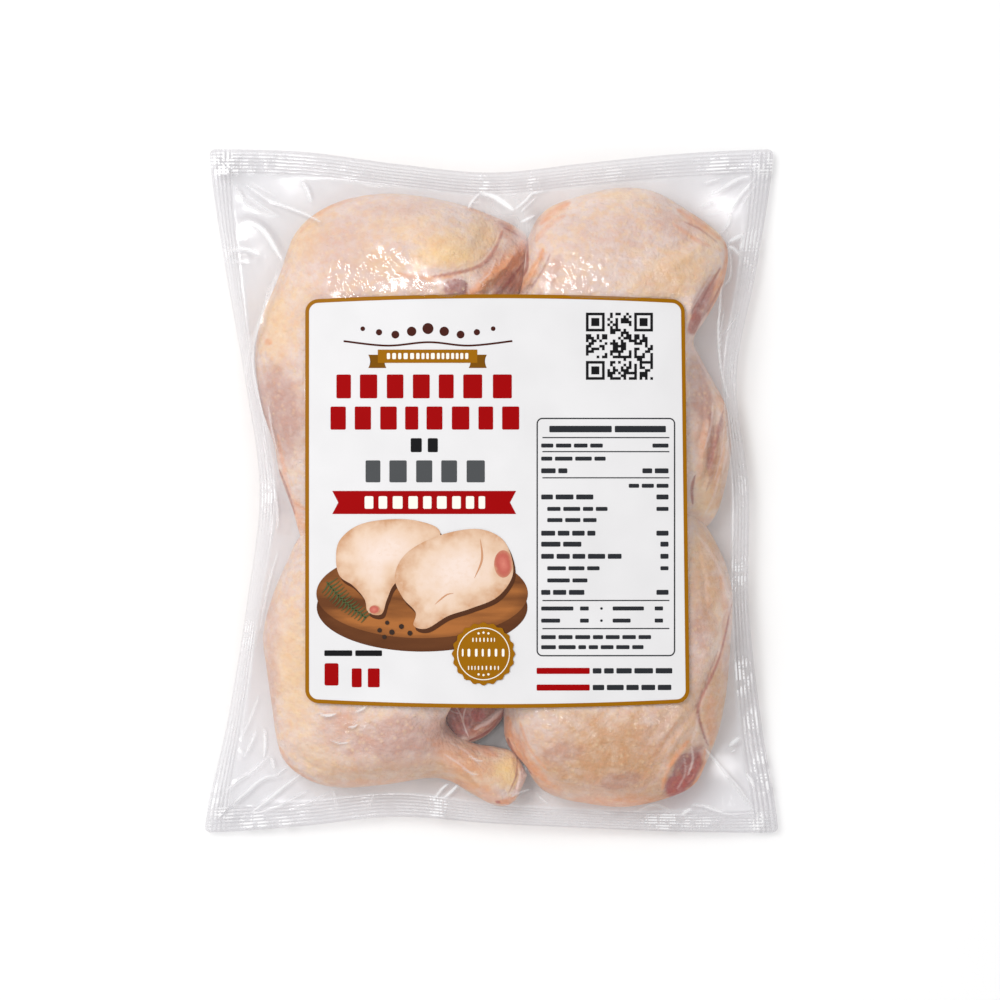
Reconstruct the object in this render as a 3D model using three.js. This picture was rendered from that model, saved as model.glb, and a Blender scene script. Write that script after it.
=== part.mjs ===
// A clear sealed bag that holds four raw chicken leg quarters, with a big paper label on its upper film.
// Millimetres, +Z up. The bag lies flat on its back film, and the origin is under its middle, where it lies.
// x runs across the bag and y along it, towards the top of the label.
import * as THREE from "three";

// Driving dimensions of the empty, sealed bag
const BAG_WIDTH = 304;
const BAG_LENGTH = 362;
const SEAL_WIDTH = 13.5;
const SEAL_THICKNESS = 1.2;

// The filled bag draws its four edges inwards. Each list gives that at even steps from one corner to the
// next, in the direction of x or y.
const DRAW_IN = {
  left: [0, 12, 21.5, 28, 19.5, 8.5, 0],
  right: [0, 9, 15, 14.5, 20.5, 9, 0],
  bottom: [0, 3.5, 8.5, 5, 2.5, 0.5, 0],
  top: [0, 1.5, 8, 12.5, 7.5, 2.5, 0],
};
const TOP_NARROWING = 2.5; // each top corner stands this far inside the bottom corner below it

// Width of the seal as it shows from above, at the same steps: where narrow, it stands up against the meat
const SEAL_SEEN = {
  left: [12.5, 9, 7.5, 9.5, 6.5, 9, 12.5],
  right: [13, 12, 8, 8.5, 7, 9, 12.5],
  bottom: [13, 13, 13, 11, 10, 11, 13],
  top: [13, 13, 12.5, 12.5, 12.5, 13, 13],
};

// Height of the sealed rim over the surface: low at the corners, higher at mid-edge, with a slight wave
const RIM_CORNER_Z = 4;
const RIM_LIFT = 6;
const RIM_WAVE = 0.8;
const RIM_WAVES = 5;

// The back film lies flat inside this share of the way from the edge to the middle
const FLAT_INSET = 0.14;
const BACK_RINGS = 3;

// The label is a stiff, gently crowned sheet
const LABEL = { width: 201.5, length: 212.5, x: 2.5, y: -5.4, corner: 6.6, thickness: 0.5 };
const LABEL_END_BOW = 2.8; // its two ends bulge outwards by this in their middle
const LABEL_RIGHT_FLARE = 1.3; // its right edge leans out by this at the bottom, and in at the top
const LABEL_TOP_Z = 49;
const LABEL_FALL_ACROSS = 9; // how much lower the crown is at the label's side edges
const LABEL_FALL_ALONG = 3; // and at its two ends
const LABEL_GAP = 0.3;
const LABEL_MARGIN = 6; // the film keeps to the label's crown this far past its edge

// The meat: each lobe is half an ellipsoid, with its middle, two half axes, turn in degrees and height
const MEAT_BASE_Z = 14; // height of the widest part of every lobe
const FILM_OVER_MEAT = 0.8;
const MEAT_FADE = 9; // near the seal, the meat gives way to the film over this distance
const QUARTERS = {
  top_left: [
    { part: "thigh", x: -53, y: 105, a: 64, b: 51, turn: 0, top: 45 },
    { part: "knee", x: -101, y: 79, a: 23, b: 36, turn: 0, top: 38 },
    { part: "calf", x: -94, y: 44, a: 26.5, b: 45, turn: 0, top: 37 },
    { part: "shank", x: -96, y: 2, a: 14, b: 26, turn: 10, top: 27 },
    { part: "cut end", x: 0, y: 120, a: 18, b: 21, turn: 0, top: 34 },
  ],
  top_right: [
    { part: "thigh", x: 70, y: 106, a: 54, b: 54, turn: 0, top: 45 },
    { part: "knee", x: 108, y: 117, a: 17, b: 24, turn: 0, top: 35 },
    { part: "inner edge", x: 31, y: 129, a: 15, b: 22, turn: 0, top: 33 },
    { part: "calf", x: 105, y: 32, a: 21.5, b: 45, turn: 6, top: 37 },
    { part: "shank", x: 112, y: -3, a: 11, b: 19, turn: 0, top: 26 },
  ],
  bottom_left: [
    { part: "thigh", x: -77.5, y: -93, a: 43, b: 64, turn: 0, top: 45 },
    { part: "flap", x: -101, y: -54, a: 19, b: 34, turn: 0, top: 33 },
    { part: "calf", x: -50, y: -127, a: 42, b: 28, turn: -8, top: 42 },
    { part: "shank", x: -17, y: -143, a: 27, b: 16, turn: -12, top: 31 },
    { part: "knuckle", x: 3, y: -150, a: 15, b: 15, turn: 0, top: 30 },
  ],
  bottom_right: [
    { part: "thigh", x: 57.5, y: -120, a: 50.5, b: 46, turn: 0, top: 45 },
    { part: "back", x: 84, y: -105.5, a: 37, b: 53, turn: 0, top: 42 },
    { part: "calf", x: 104.5, y: -66, a: 23, b: 54, turn: 0, top: 38 },
    { part: "cut end", x: 98, y: -138, a: 18, b: 23, turn: -25, top: 31 },
  ],
};

// Fineness of the two grids
const BAG_COLUMNS = 60;
const BAG_ROWS = 72;
const SEAL_STEPS = 2;
const LABEL_COLUMNS = 18;
const LABEL_ROWS = 26;
const CORNER_ROWS = 4;
const SMOOTHING_ROUNDS = 900;

// A smooth line through values at even steps from 0 to 1
function smoothLine(values, t) {
  const last = values.length - 1;
  const i = Math.min(Math.floor(t * last), last - 1);
  const f = t * last - i;
  const at = (k) => values[THREE.MathUtils.clamp(k, 0, last)];
  const slopeStart = (at(i + 1) - at(i - 1)) / 2;
  const slopeEnd = (at(i + 2) - at(i)) / 2;
  const rise = at(i + 1) - at(i);
  const bend = 3 * rise - 2 * slopeStart - slopeEnd + f * (slopeStart + slopeEnd - 2 * rise);
  return at(i) + f * (slopeStart + f * bend);
}

// Point of the bag's plan at u across and v along, both from 0 to 1: a Coons patch between its four edges
function planPoint(u, v) {
  const halfWidth = BAG_WIDTH / 2;
  const halfLength = BAG_LENGTH / 2;
  const left = [-halfWidth + TOP_NARROWING * v + smoothLine(DRAW_IN.left, v), halfLength * (2 * v - 1)];
  const right = [halfWidth - TOP_NARROWING * v - smoothLine(DRAW_IN.right, v), halfLength * (2 * v - 1)];
  const bottom = [halfWidth * (2 * u - 1), -halfLength + smoothLine(DRAW_IN.bottom, u)];
  const top = [(halfWidth - TOP_NARROWING) * (2 * u - 1), halfLength - smoothLine(DRAW_IN.top, u)];
  const corner = (sideways, endways) => [
    sideways * (halfWidth - (endways > 0 ? TOP_NARROWING : 0)),
    endways * halfLength,
  ];
  return [0, 1].map(
    (k) =>
      (1 - u) * left[k] +
      u * right[k] +
      (1 - v) * bottom[k] +
      v * top[k] -
      (1 - u) * (1 - v) * corner(-1, -1)[k] -
      u * (1 - v) * corner(1, -1)[k] -
      (1 - u) * v * corner(-1, 1)[k] -
      u * v * corner(1, 1)[k],
  );
}

// Height of the middle of the sealed rim
function rimHeight(u, v) {
  const lift = Math.sin(Math.PI * u) + Math.sin(Math.PI * v);
  return RIM_CORNER_Z + RIM_LIFT * lift + RIM_WAVE * Math.sin(RIM_WAVES * Math.PI * (u + v));
}

// Height of the meat at a point, or 0 where there is none
function meatHeight(x, y) {
  let height = 0;
  for (const lobe of Object.values(QUARTERS).flat()) {
    const turn = THREE.MathUtils.degToRad(lobe.turn);
    const dx = x - lobe.x;
    const dy = y - lobe.y;
    const along = (dx * Math.cos(turn) + dy * Math.sin(turn)) / lobe.a;
    const across = (dy * Math.cos(turn) - dx * Math.sin(turn)) / lobe.b;
    const inside = 1 - along * along - across * across;
    if (inside > 0) height = Math.max(height, MEAT_BASE_Z + (lobe.top - MEAT_BASE_Z) * Math.sqrt(inside));
  }
  return height;
}

// Height of the label's crown, which the film under it shares
function crownHeight(x, y) {
  const across = (x - LABEL.x) / (LABEL.width / 2);
  const along = (y - LABEL.y) / (LABEL.length / 2);
  return LABEL_TOP_Z - LABEL_FALL_ACROSS * across * across - LABEL_FALL_ALONG * along * along;
}

function isUnderLabel(x, y) {
  const acrossIt = Math.abs(x - LABEL.x) < LABEL.width / 2 + LABEL_MARGIN;
  const alongIt = Math.abs(y - LABEL.y) < LABEL.length / 2 + LABEL_MARGIN;
  return acrossIt && alongIt;
}

// Step k of a grid line from 0 to 1, where the first and last few steps cross the seal
function gridStep(k, count, firstSeal, lastSeal) {
  if (k < SEAL_STEPS) return (firstSeal * k) / SEAL_STEPS;
  if (k > count - SEAL_STEPS) return 1 - (lastSeal * (count - k)) / SEAL_STEPS;
  const inner = (k - SEAL_STEPS) / (count - 2 * SEAL_STEPS);
  return firstSeal + (1 - firstSeal - lastSeal) * inner;
}

// How far a point of the seal stands over the rim, from the seal's true width and its width as seen
function sealRise(share, seen) {
  return share * Math.sqrt(Math.max(0, SEAL_WIDTH ** 2 - seen ** 2));
}

// One point of the upper film before it is stretched
function filmPoint(i, j) {
  const across = i / BAG_COLUMNS;
  const along = j / BAG_ROWS;
  const seen = {
    left: smoothLine(SEAL_SEEN.left, along),
    right: smoothLine(SEAL_SEEN.right, along),
    bottom: smoothLine(SEAL_SEEN.bottom, across),
    top: smoothLine(SEAL_SEEN.top, across),
  };
  const u = gridStep(i, BAG_COLUMNS, seen.left / BAG_WIDTH, seen.right / BAG_WIDTH);
  const v = gridStep(j, BAG_ROWS, seen.bottom / BAG_LENGTH, seen.top / BAG_LENGTH);
  const [x, y] = planPoint(u, v);
  const nearest = [
    { steps: i, width: seen.left },
    { steps: BAG_COLUMNS - i, width: seen.right },
    { steps: j, width: seen.bottom },
    { steps: BAG_ROWS - j, width: seen.top },
  ].reduce((a, b) => (b.steps < a.steps ? b : a));
  const sealed = nearest.steps <= SEAL_STEPS;
  const rise = sealRise(Math.min(1, nearest.steps / SEAL_STEPS), nearest.width);
  const held = !sealed && isUnderLabel(x, y);
  const z = held ? crownHeight(x, y) : rimHeight(u, v) + SEAL_THICKNESS / 2 + rise;
  const past = Math.min(
    u * BAG_WIDTH - seen.left,
    (1 - u) * BAG_WIDTH - seen.right,
    v * BAG_LENGTH - seen.bottom,
    (1 - v) * BAG_LENGTH - seen.top,
  );
  const floor = (meatHeight(x, y) + FILM_OVER_MEAT) * THREE.MathUtils.smoothstep(past, 0, MEAT_FADE);
  return { u, v, x, y, z, fixed: sealed || held, floor };
}

// The upper film as a stretched skin: the seal and the label's crown are fixed, and every other point goes
// to the mean of its neighbours, but never under the meat
function upperFilm() {
  const points = Array.from({ length: BAG_ROWS + 1 }, (_, j) =>
    Array.from({ length: BAG_COLUMNS + 1 }, (__, i) => filmPoint(i, j)),
  );
  for (let round = 0; round < SMOOTHING_ROUNDS; round += 1)
    for (let j = 1; j < BAG_ROWS; j += 1)
      for (let i = 1; i < BAG_COLUMNS; i += 1) {
        const p = points[j][i];
        if (p.fixed) continue;
        const neighbours = [points[j - 1][i], points[j + 1][i], points[j][i - 1], points[j][i + 1]];
        const mean = neighbours.reduce((sum, q) => sum + q.z, 0) / neighbours.length;
        p.z = Math.max(mean, p.floor);
      }
  return points;
}

// The outer ring of a grid, anticlockwise from its first corner
function ringOf(grid) {
  const last = grid.length - 1;
  const end = grid[0].length - 1;
  return [
    ...grid[0].slice(0, end),
    ...grid.slice(0, last).map((row) => row[end]),
    ...grid[last].slice(1).reverse(),
    ...grid.slice(1).map((row) => row[0]).reverse(),
  ];
}

// Height of the back film under an edge point, from the rim's underside down to the surface
function backHeight(edge, inset) {
  const underside = rimHeight(edge.u, edge.v) - SEAL_THICKNESS / 2;
  return underside * (1 - THREE.MathUtils.smoothstep(inset, SEAL_WIDTH / BAG_LENGTH, FLAT_INSET));
}

// One closed geometry from a list of points and a list of triangles
function solidGeometry(points, triangles) {
  const geometry = new THREE.BufferGeometry();
  geometry.setAttribute("position", new THREE.Float32BufferAttribute(points.flat(), 3));
  geometry.setIndex(triangles.flat());
  geometry.computeVertexNormals();
  return geometry;
}

// Two triangles for each cell of a grid whose points are numbered row by row
function gridTriangles(rows, columns, first, faceUp) {
  const triangles = [];
  for (let j = 0; j < rows - 1; j += 1)
    for (let i = 0; i < columns - 1; i += 1) {
      const a = first + j * columns + i;
      const quad = [a, a + 1, a + columns + 1, a + columns];
      if (!faceUp) quad.reverse();
      triangles.push([quad[0], quad[1], quad[2]], [quad[0], quad[2], quad[3]]);
    }
  return triangles;
}

// Side faces between an upper and a lower ring of the same number of points, both anticlockwise
function bandTriangles(upper, lower) {
  return upper.flatMap((a, k) => {
    const next = (k + 1) % upper.length;
    return [
      [a, lower[k], lower[next]],
      [a, lower[next], upper[next]],
    ];
  });
}

// The filled bag: upper film, thin sealed edge, and a back film that comes down to one flat face
function bagGeometry() {
  const grid = upperFilm();
  const columns = grid[0].length;
  const points = grid.flat().map((p) => [p.x, p.y, p.z]);
  const triangles = gridTriangles(grid.length, columns, 0, true);
  const edge = ringOf(grid);
  let above = edge.map((p) => grid.flat().indexOf(p));
  for (let ring = 0; ring <= BACK_RINGS; ring += 1) {
    const inset = (FLAT_INSET * ring) / BACK_RINGS;
    const shrink = 1 - 2 * inset;
    const below = edge.map((p) => {
      const u = 0.5 + (p.u - 0.5) * shrink;
      const v = 0.5 + (p.v - 0.5) * shrink;
      const [x, y] = planPoint(u, v);
      points.push([x, y, backHeight(p, inset)]);
      return points.length - 1;
    });
    triangles.push(...bandTriangles(above, below));
    above = below;
  }
  const outline = above.map((k) => new THREE.Vector2(points[k][0], points[k][1]));
  for (const [a, b, c] of THREE.ShapeUtils.triangulateShape(outline, []))
    triangles.push([above[a], above[c], above[b]]);
  return solidGeometry(points, triangles);
}

// Half the label's width at a distance along it from its middle, less what the round corners take
function labelHalfWidth(along) {
  const intoCorner = Math.max(0, Math.abs(along) - (LABEL.length / 2 - LABEL.corner));
  return LABEL.width / 2 - LABEL.corner + Math.sqrt(Math.max(0, LABEL.corner ** 2 - intoCorner ** 2));
}

// Plan of a label point: side runs from -1 to 1 between the label's side edges
function labelPoint(side, along) {
  const end = along / (LABEL.length / 2);
  const flare = (LABEL_RIGHT_FLARE * (1 + side) * -end) / 2;
  const bow = LABEL_END_BOW * end * (1 - side * side);
  return [LABEL.x + labelHalfWidth(along) * side + flare, LABEL.y + along + bow];
}

// Places along the label: a few rows on each corner's arc and even rows between
function labelRows() {
  const arcStart = LABEL.length / 2 - LABEL.corner;
  const arc = Array.from({ length: CORNER_ROWS }, (_, k) => {
    const angle = ((k + 1) / CORNER_ROWS) * (Math.PI / 2);
    return arcStart + LABEL.corner * Math.sin(angle);
  });
  const straight = Array.from({ length: LABEL_ROWS + 1 }, (_, k) => arcStart * ((2 * k) / LABEL_ROWS - 1));
  return [...arc.map((y) => -y).reverse(), ...straight, ...arc];
}

// The label: a thin sheet with round corners that follows the crown
function labelGeometry() {
  const rows = labelRows();
  const columns = LABEL_COLUMNS + 1;
  const sheet = (lift) =>
    rows.flatMap((along) =>
      Array.from({ length: columns }, (_, i) => {
        const [x, y] = labelPoint((2 * i) / LABEL_COLUMNS - 1, along);
        return [x, y, crownHeight(x, y) + lift];
      }),
    );
  const upper = sheet(LABEL_GAP + LABEL.thickness);
  const lower = sheet(LABEL_GAP);
  const numbered = rows.map((_, j) => Array.from({ length: columns }, (_, i) => j * columns + i));
  const ring = ringOf(numbered);
  return solidGeometry(
    [...upper, ...lower],
    [
      ...gridTriangles(rows.length, columns, 0, true),
      ...gridTriangles(rows.length, columns, upper.length, false),
      ...bandTriangles(
        ring,
        ring.map((k) => k + upper.length),
      ),
    ],
  );
}

function namedMesh(name, geometry, look) {
  const mesh = new THREE.Mesh(geometry, new THREE.MeshStandardMaterial(look));
  mesh.name = name;
  return mesh;
}

const pack = new THREE.Group();
pack.add(
  namedMesh("bag", bagGeometry(), { color: 0xe6c4ac, roughness: 0.25, metalness: 0 }),
  namedMesh("label", labelGeometry(), { color: 0xebebeb, roughness: 0.5, metalness: 0 }),
);

export default pack;
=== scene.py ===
"""A clear sealed bag of raw chicken leg quarters under
a big paper label, seen from above on a white table."""

import functools
import math

import bpy
import numpy as np
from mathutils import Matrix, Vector


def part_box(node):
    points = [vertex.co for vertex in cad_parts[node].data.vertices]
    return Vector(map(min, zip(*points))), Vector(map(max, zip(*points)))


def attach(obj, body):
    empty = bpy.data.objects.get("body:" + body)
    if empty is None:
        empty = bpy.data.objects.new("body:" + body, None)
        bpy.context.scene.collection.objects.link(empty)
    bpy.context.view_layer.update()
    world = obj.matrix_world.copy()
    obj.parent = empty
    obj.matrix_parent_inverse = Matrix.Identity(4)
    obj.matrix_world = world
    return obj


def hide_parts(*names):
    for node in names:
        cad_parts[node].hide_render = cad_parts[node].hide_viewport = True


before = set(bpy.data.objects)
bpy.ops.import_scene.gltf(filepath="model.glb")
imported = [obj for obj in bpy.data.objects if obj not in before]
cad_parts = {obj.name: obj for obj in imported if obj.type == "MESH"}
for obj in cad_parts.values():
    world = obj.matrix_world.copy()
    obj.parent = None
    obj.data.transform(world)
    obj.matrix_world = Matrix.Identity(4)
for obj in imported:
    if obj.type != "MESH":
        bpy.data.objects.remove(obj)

bl_info = {
    "name": "Bag of chicken leg quarters",
    "version": (1, 0, 0),
    "blender": (4, 5, 0),
    "location": "3D View > Sidebar > Chicken bag",
    "description": "Builds a sealed clear bag with its meat, its label and the print on it",
    "category": "Add Mesh",
}

MM = 0.001
BODY = "root"

# The bag and the label as the frame gives them, in millimetres
BAG_LOW, BAG_HIGH = (np.array(corner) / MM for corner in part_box("bag"))
LABEL_HIGH = np.array(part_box("label")[1]) / MM
BAG_WIDTH, BAG_LENGTH = (BAG_HIGH - BAG_LOW)[:2]

# The seal and the edges of the bag, as in the solid. Each
# list runs in even steps from one corner to the next.
SEAL_WIDTH = 13.5
SEAL_THICKNESS = 0.3
DRAW_IN = {
    "left": [0, 12, 21.5, 28, 19.5, 8.5, 0],
    "right": [0, 9, 15, 14.5, 20.5, 9, 0],
    "bottom": [0, 3.5, 8.5, 5, 2.5, 0.5, 0],
    "top": [0, 1.5, 8, 12.5, 7.5, 2.5, 0],
}
TOP_NARROWING = 2.5
SEAL_SEEN = {
    "left": [12.5, 9, 7.5, 9.5, 6.5, 9, 12.5],
    "right": [13, 12.5, 10, 10, 8, 10, 12.5],
    "bottom": [13, 13, 13, 11, 10, 11, 13],
    "top": [13, 13, 12.5, 12.5, 12.5, 13, 13],
}
RIM_CORNER_Z = 4
RIM_LIFT = 6
RIM_WAVE = 0.8
RIM_WAVES = 5
SIDE_RIBS, END_RIBS = 5, 7
# Painted shade of the seal on the left, right, bottom and top: a grey on each, darkest on the right, the
# side turned from the key light.
SEAL_SHADE = (0.16, 0.22, 0.16, 0.16)
CORNER_ROUND = 3.5
CROSS_PITCH = 1.9

# The label: a crowned sheet with round corners
LABEL_WIDTH, LABEL_LENGTH, LABEL_CORNER = 201.5, 212.5, 6.6
LABEL_X, LABEL_Y = 2.5, -5.4
LABEL_END_BOW = 2.8
LABEL_RIGHT_FLARE = 1.3
LABEL_FALL_ACROSS = 9
LABEL_FALL_ALONG = 3
LABEL_OVER_FILM = 0.8
LABEL_WAVE = 0.25
UNDER_LABEL = 1.03
UNDER_SHEET_SHARE, UNDER_SHEET_LINES, UNDER_SHEET_GAP = 0.98, 60, 0.08
LABEL_TOP_Z = LABEL_HIGH[2] - LABEL_OVER_FILM

# How fine the grids are
FILM_COLUMNS, FILM_ROWS, SEAL_LINES = 440, 504, 36
BACK_COLUMNS, BACK_ROWS, BACK_SEAL_LINES = 136, 160, 8
MEAT_SECTIONS, MEAT_TOP_STEPS, MEAT_UNDER_STEPS = 510, 150, 40
MAP_CELL = 1.0
LABEL_COLUMNS, LABEL_ROWS, CORNER_STEPS = 121, 110, 8
RING_CORNER_POINTS, RING_SIDE_POINTS = 13, 90
STROKE_POINTS = 60

# The meat. Two rails run round each quarter from its one end to its other, and its height is
# given in even steps between them. A fold is a line, its width and its height, below 0 for a
# groove. A step is the line where the skin ends and the drop there, and a dish is a cut
# face's ellipse and its depth. Patches and strokes are listed by look: an ellipse's middle,
# half axes and turn with a strength, and half a line's width with a strength and its points.
UPPER_LEFT = {
    "outer": [(20.6, 127), (16.5, 137.5), (-4, 147.4), (-22, 153), (-50, 157.4), (-74, 155), (-92, 147.5),
        (-104.5, 135), (-113, 112), (-121.5, 92), (-124.9, 74), (-124.3, 60), (-121.2, 43), (-115.2, 25),
        (-111.8, 8), (-105.5, -9), (-100, -26), (-90, -38)],
    "inner": [(20.6, 127), (18.6, 114), (15, 104), (14, 90), (14, 68), (10, 44), (3, 22), (-14, 7),
        (-36, -3), (-57, -11), (-75, -22), (-90, -38)],
    "heights": [28, 37, 43, 45, 44, 42, 40, 38, 34, 27, 24],
    "folds": [([(5, 138), (1, 127), (-7, 118.5), (-21, 114.5), (-36, 114), (-51, 116)], 1.6, -1.4),
        ([(-13, 102), (-2, 111), (7.4, 118), (15.5, 130)], 2.4, 3),
        ([(-27, 107), (-20, 108), (-12, 107)], 4.5, 2), ([(-9, 112), (-2, 119), (4, 128)], 1.8, -1.5),
        ([(-3, 102), (3, 110), (11, 119)], 1, -1.4), ([(3, 101), (9, 108), (14, 115)], 1, -1.2),
        ([(-126, 66), (-112, 62), (-100, 60)], 2.2, -0.7), ([(-118, 40), (-110, 18), (-104, -8)], 1.4, -1),
        ([(-88, 147), (-98, 130), (-108, 108)], 3, 0.8)],
    "step": ([(8, 142), (1, 127), (-7, 118.5), (-21, 114.5), (-36, 114)], 2.4),
    "patches": {
        "fat": [(-20, 128, 26, 12, -10, 0.95), (-40, 138, 22, 10, 0, 0.45), (-98, 136, 12, 20, -35, 0.7),
            (-113, 88, 9, 26, 0, 0.75), (-60, 122, 16, 9, -25, 0.45), (-100, 100, 8, 18, 0, 0.4),
            (-5, 134, 11, 9, -30, 0.9), (-112, 84, 14, 14, 0, 0.6)],
        "blush": [(-78, 128, 26, 22, 0, 0.45), (-46, 150, 22, 6, 0, 0.45), (-110, 40, 16, 30, 8, 1),
            (-34, 108, 20, 6, 0, 0.5), (-85, 100, 12, 30, 0, 0.35), (1, 121, 6, 14, -38, 0.95),
            (9, 136.5, 11, 4.5, -38, 0.9)],
        "plum": [(-113, 42, 12, 28, 8, 0.3), (-19.5, 107, 7.6, 5.4, 5, 0.9), (0, 113, 3, 6, -45, 0.4)],
        "meat": [(6.4, 106.6, 11, 5.2, 50, 0.6)],
        "rust": [(13, 113, 6, 10, -25, 0.8), (15, 124.6, 5, 9, -15, 1), (-103, -14, 5, 14, 10, 0.6)],
        "yolk": [(-26, 123, 18, 6, 8, 0.35)],
    },
    "strokes": {
        "rust": [(1.6, 0.35, [(-14, 149.5), (-3, 146.5), (6.5, 142.6), (18, 134)]),
            (4.6, 1, [(16.4, 131), (13.5, 123.5), (7.4, 117.4), (-1.2, 110.2), (-12.4, 101)]),
            (1.2, 0.55, [(-50, 115), (-34, 112), (-16, 115)]),
            (1.4, 0.6, [(-113, 30), (-109, 8), (-103, -12)]), (2.2, 0.8, [(-104.5, -6.5), (-99, -9.5)]),
            (1.6, 0.6, [(-119.5, 79.5), (-116.5, 78)]), (1.3, 0.4, [(-101, 137), (-90, 148), (-74, 155)])],
        "plum": [(1.8, 0.6, [(4, 142.4), (10, 138.6), (17.5, 134.2)])],
        "meat": [(0.5, 0.5, [(6, 139.5), (12, 136.4), (18, 133)]),
            (1.3, 0.7, [(5.8, 137.5), (3.7, 131.7), (0.2, 125.3), (-4.5, 119.8), (-14, 116), (-31, 113)]),
            (0.9, 0.7, [(-112.4, 11.4), (-108, 0), (-104, -12.3)])],
        "pale": [(0.6, 0.8, [(-28, 104.5), (-25, 110), (-18.5, 112.4), (-11.5, 110.6)]),
            (0.6, 0.6, [(-11.5, 111), (-12.4, 106), (-10.5, 101)]),
            (0.5, 0.55, [(2, 122), (-1, 115), (-6, 110)]), (0.5, 0.5, [(9, 131), (5, 124), (4, 119)]),
            (0.8, 0.45, [(15.5, 115), (12.5, 108), (8, 101)])],
        "raw_red": [(0.9, 0.7, [(17, 121), (12, 114), (5, 106), (-2, 100)])],
        "blush": [(5, 0.6, [(-124, 64), (-119, 40), (-112, 15)])],
    },
}
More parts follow.
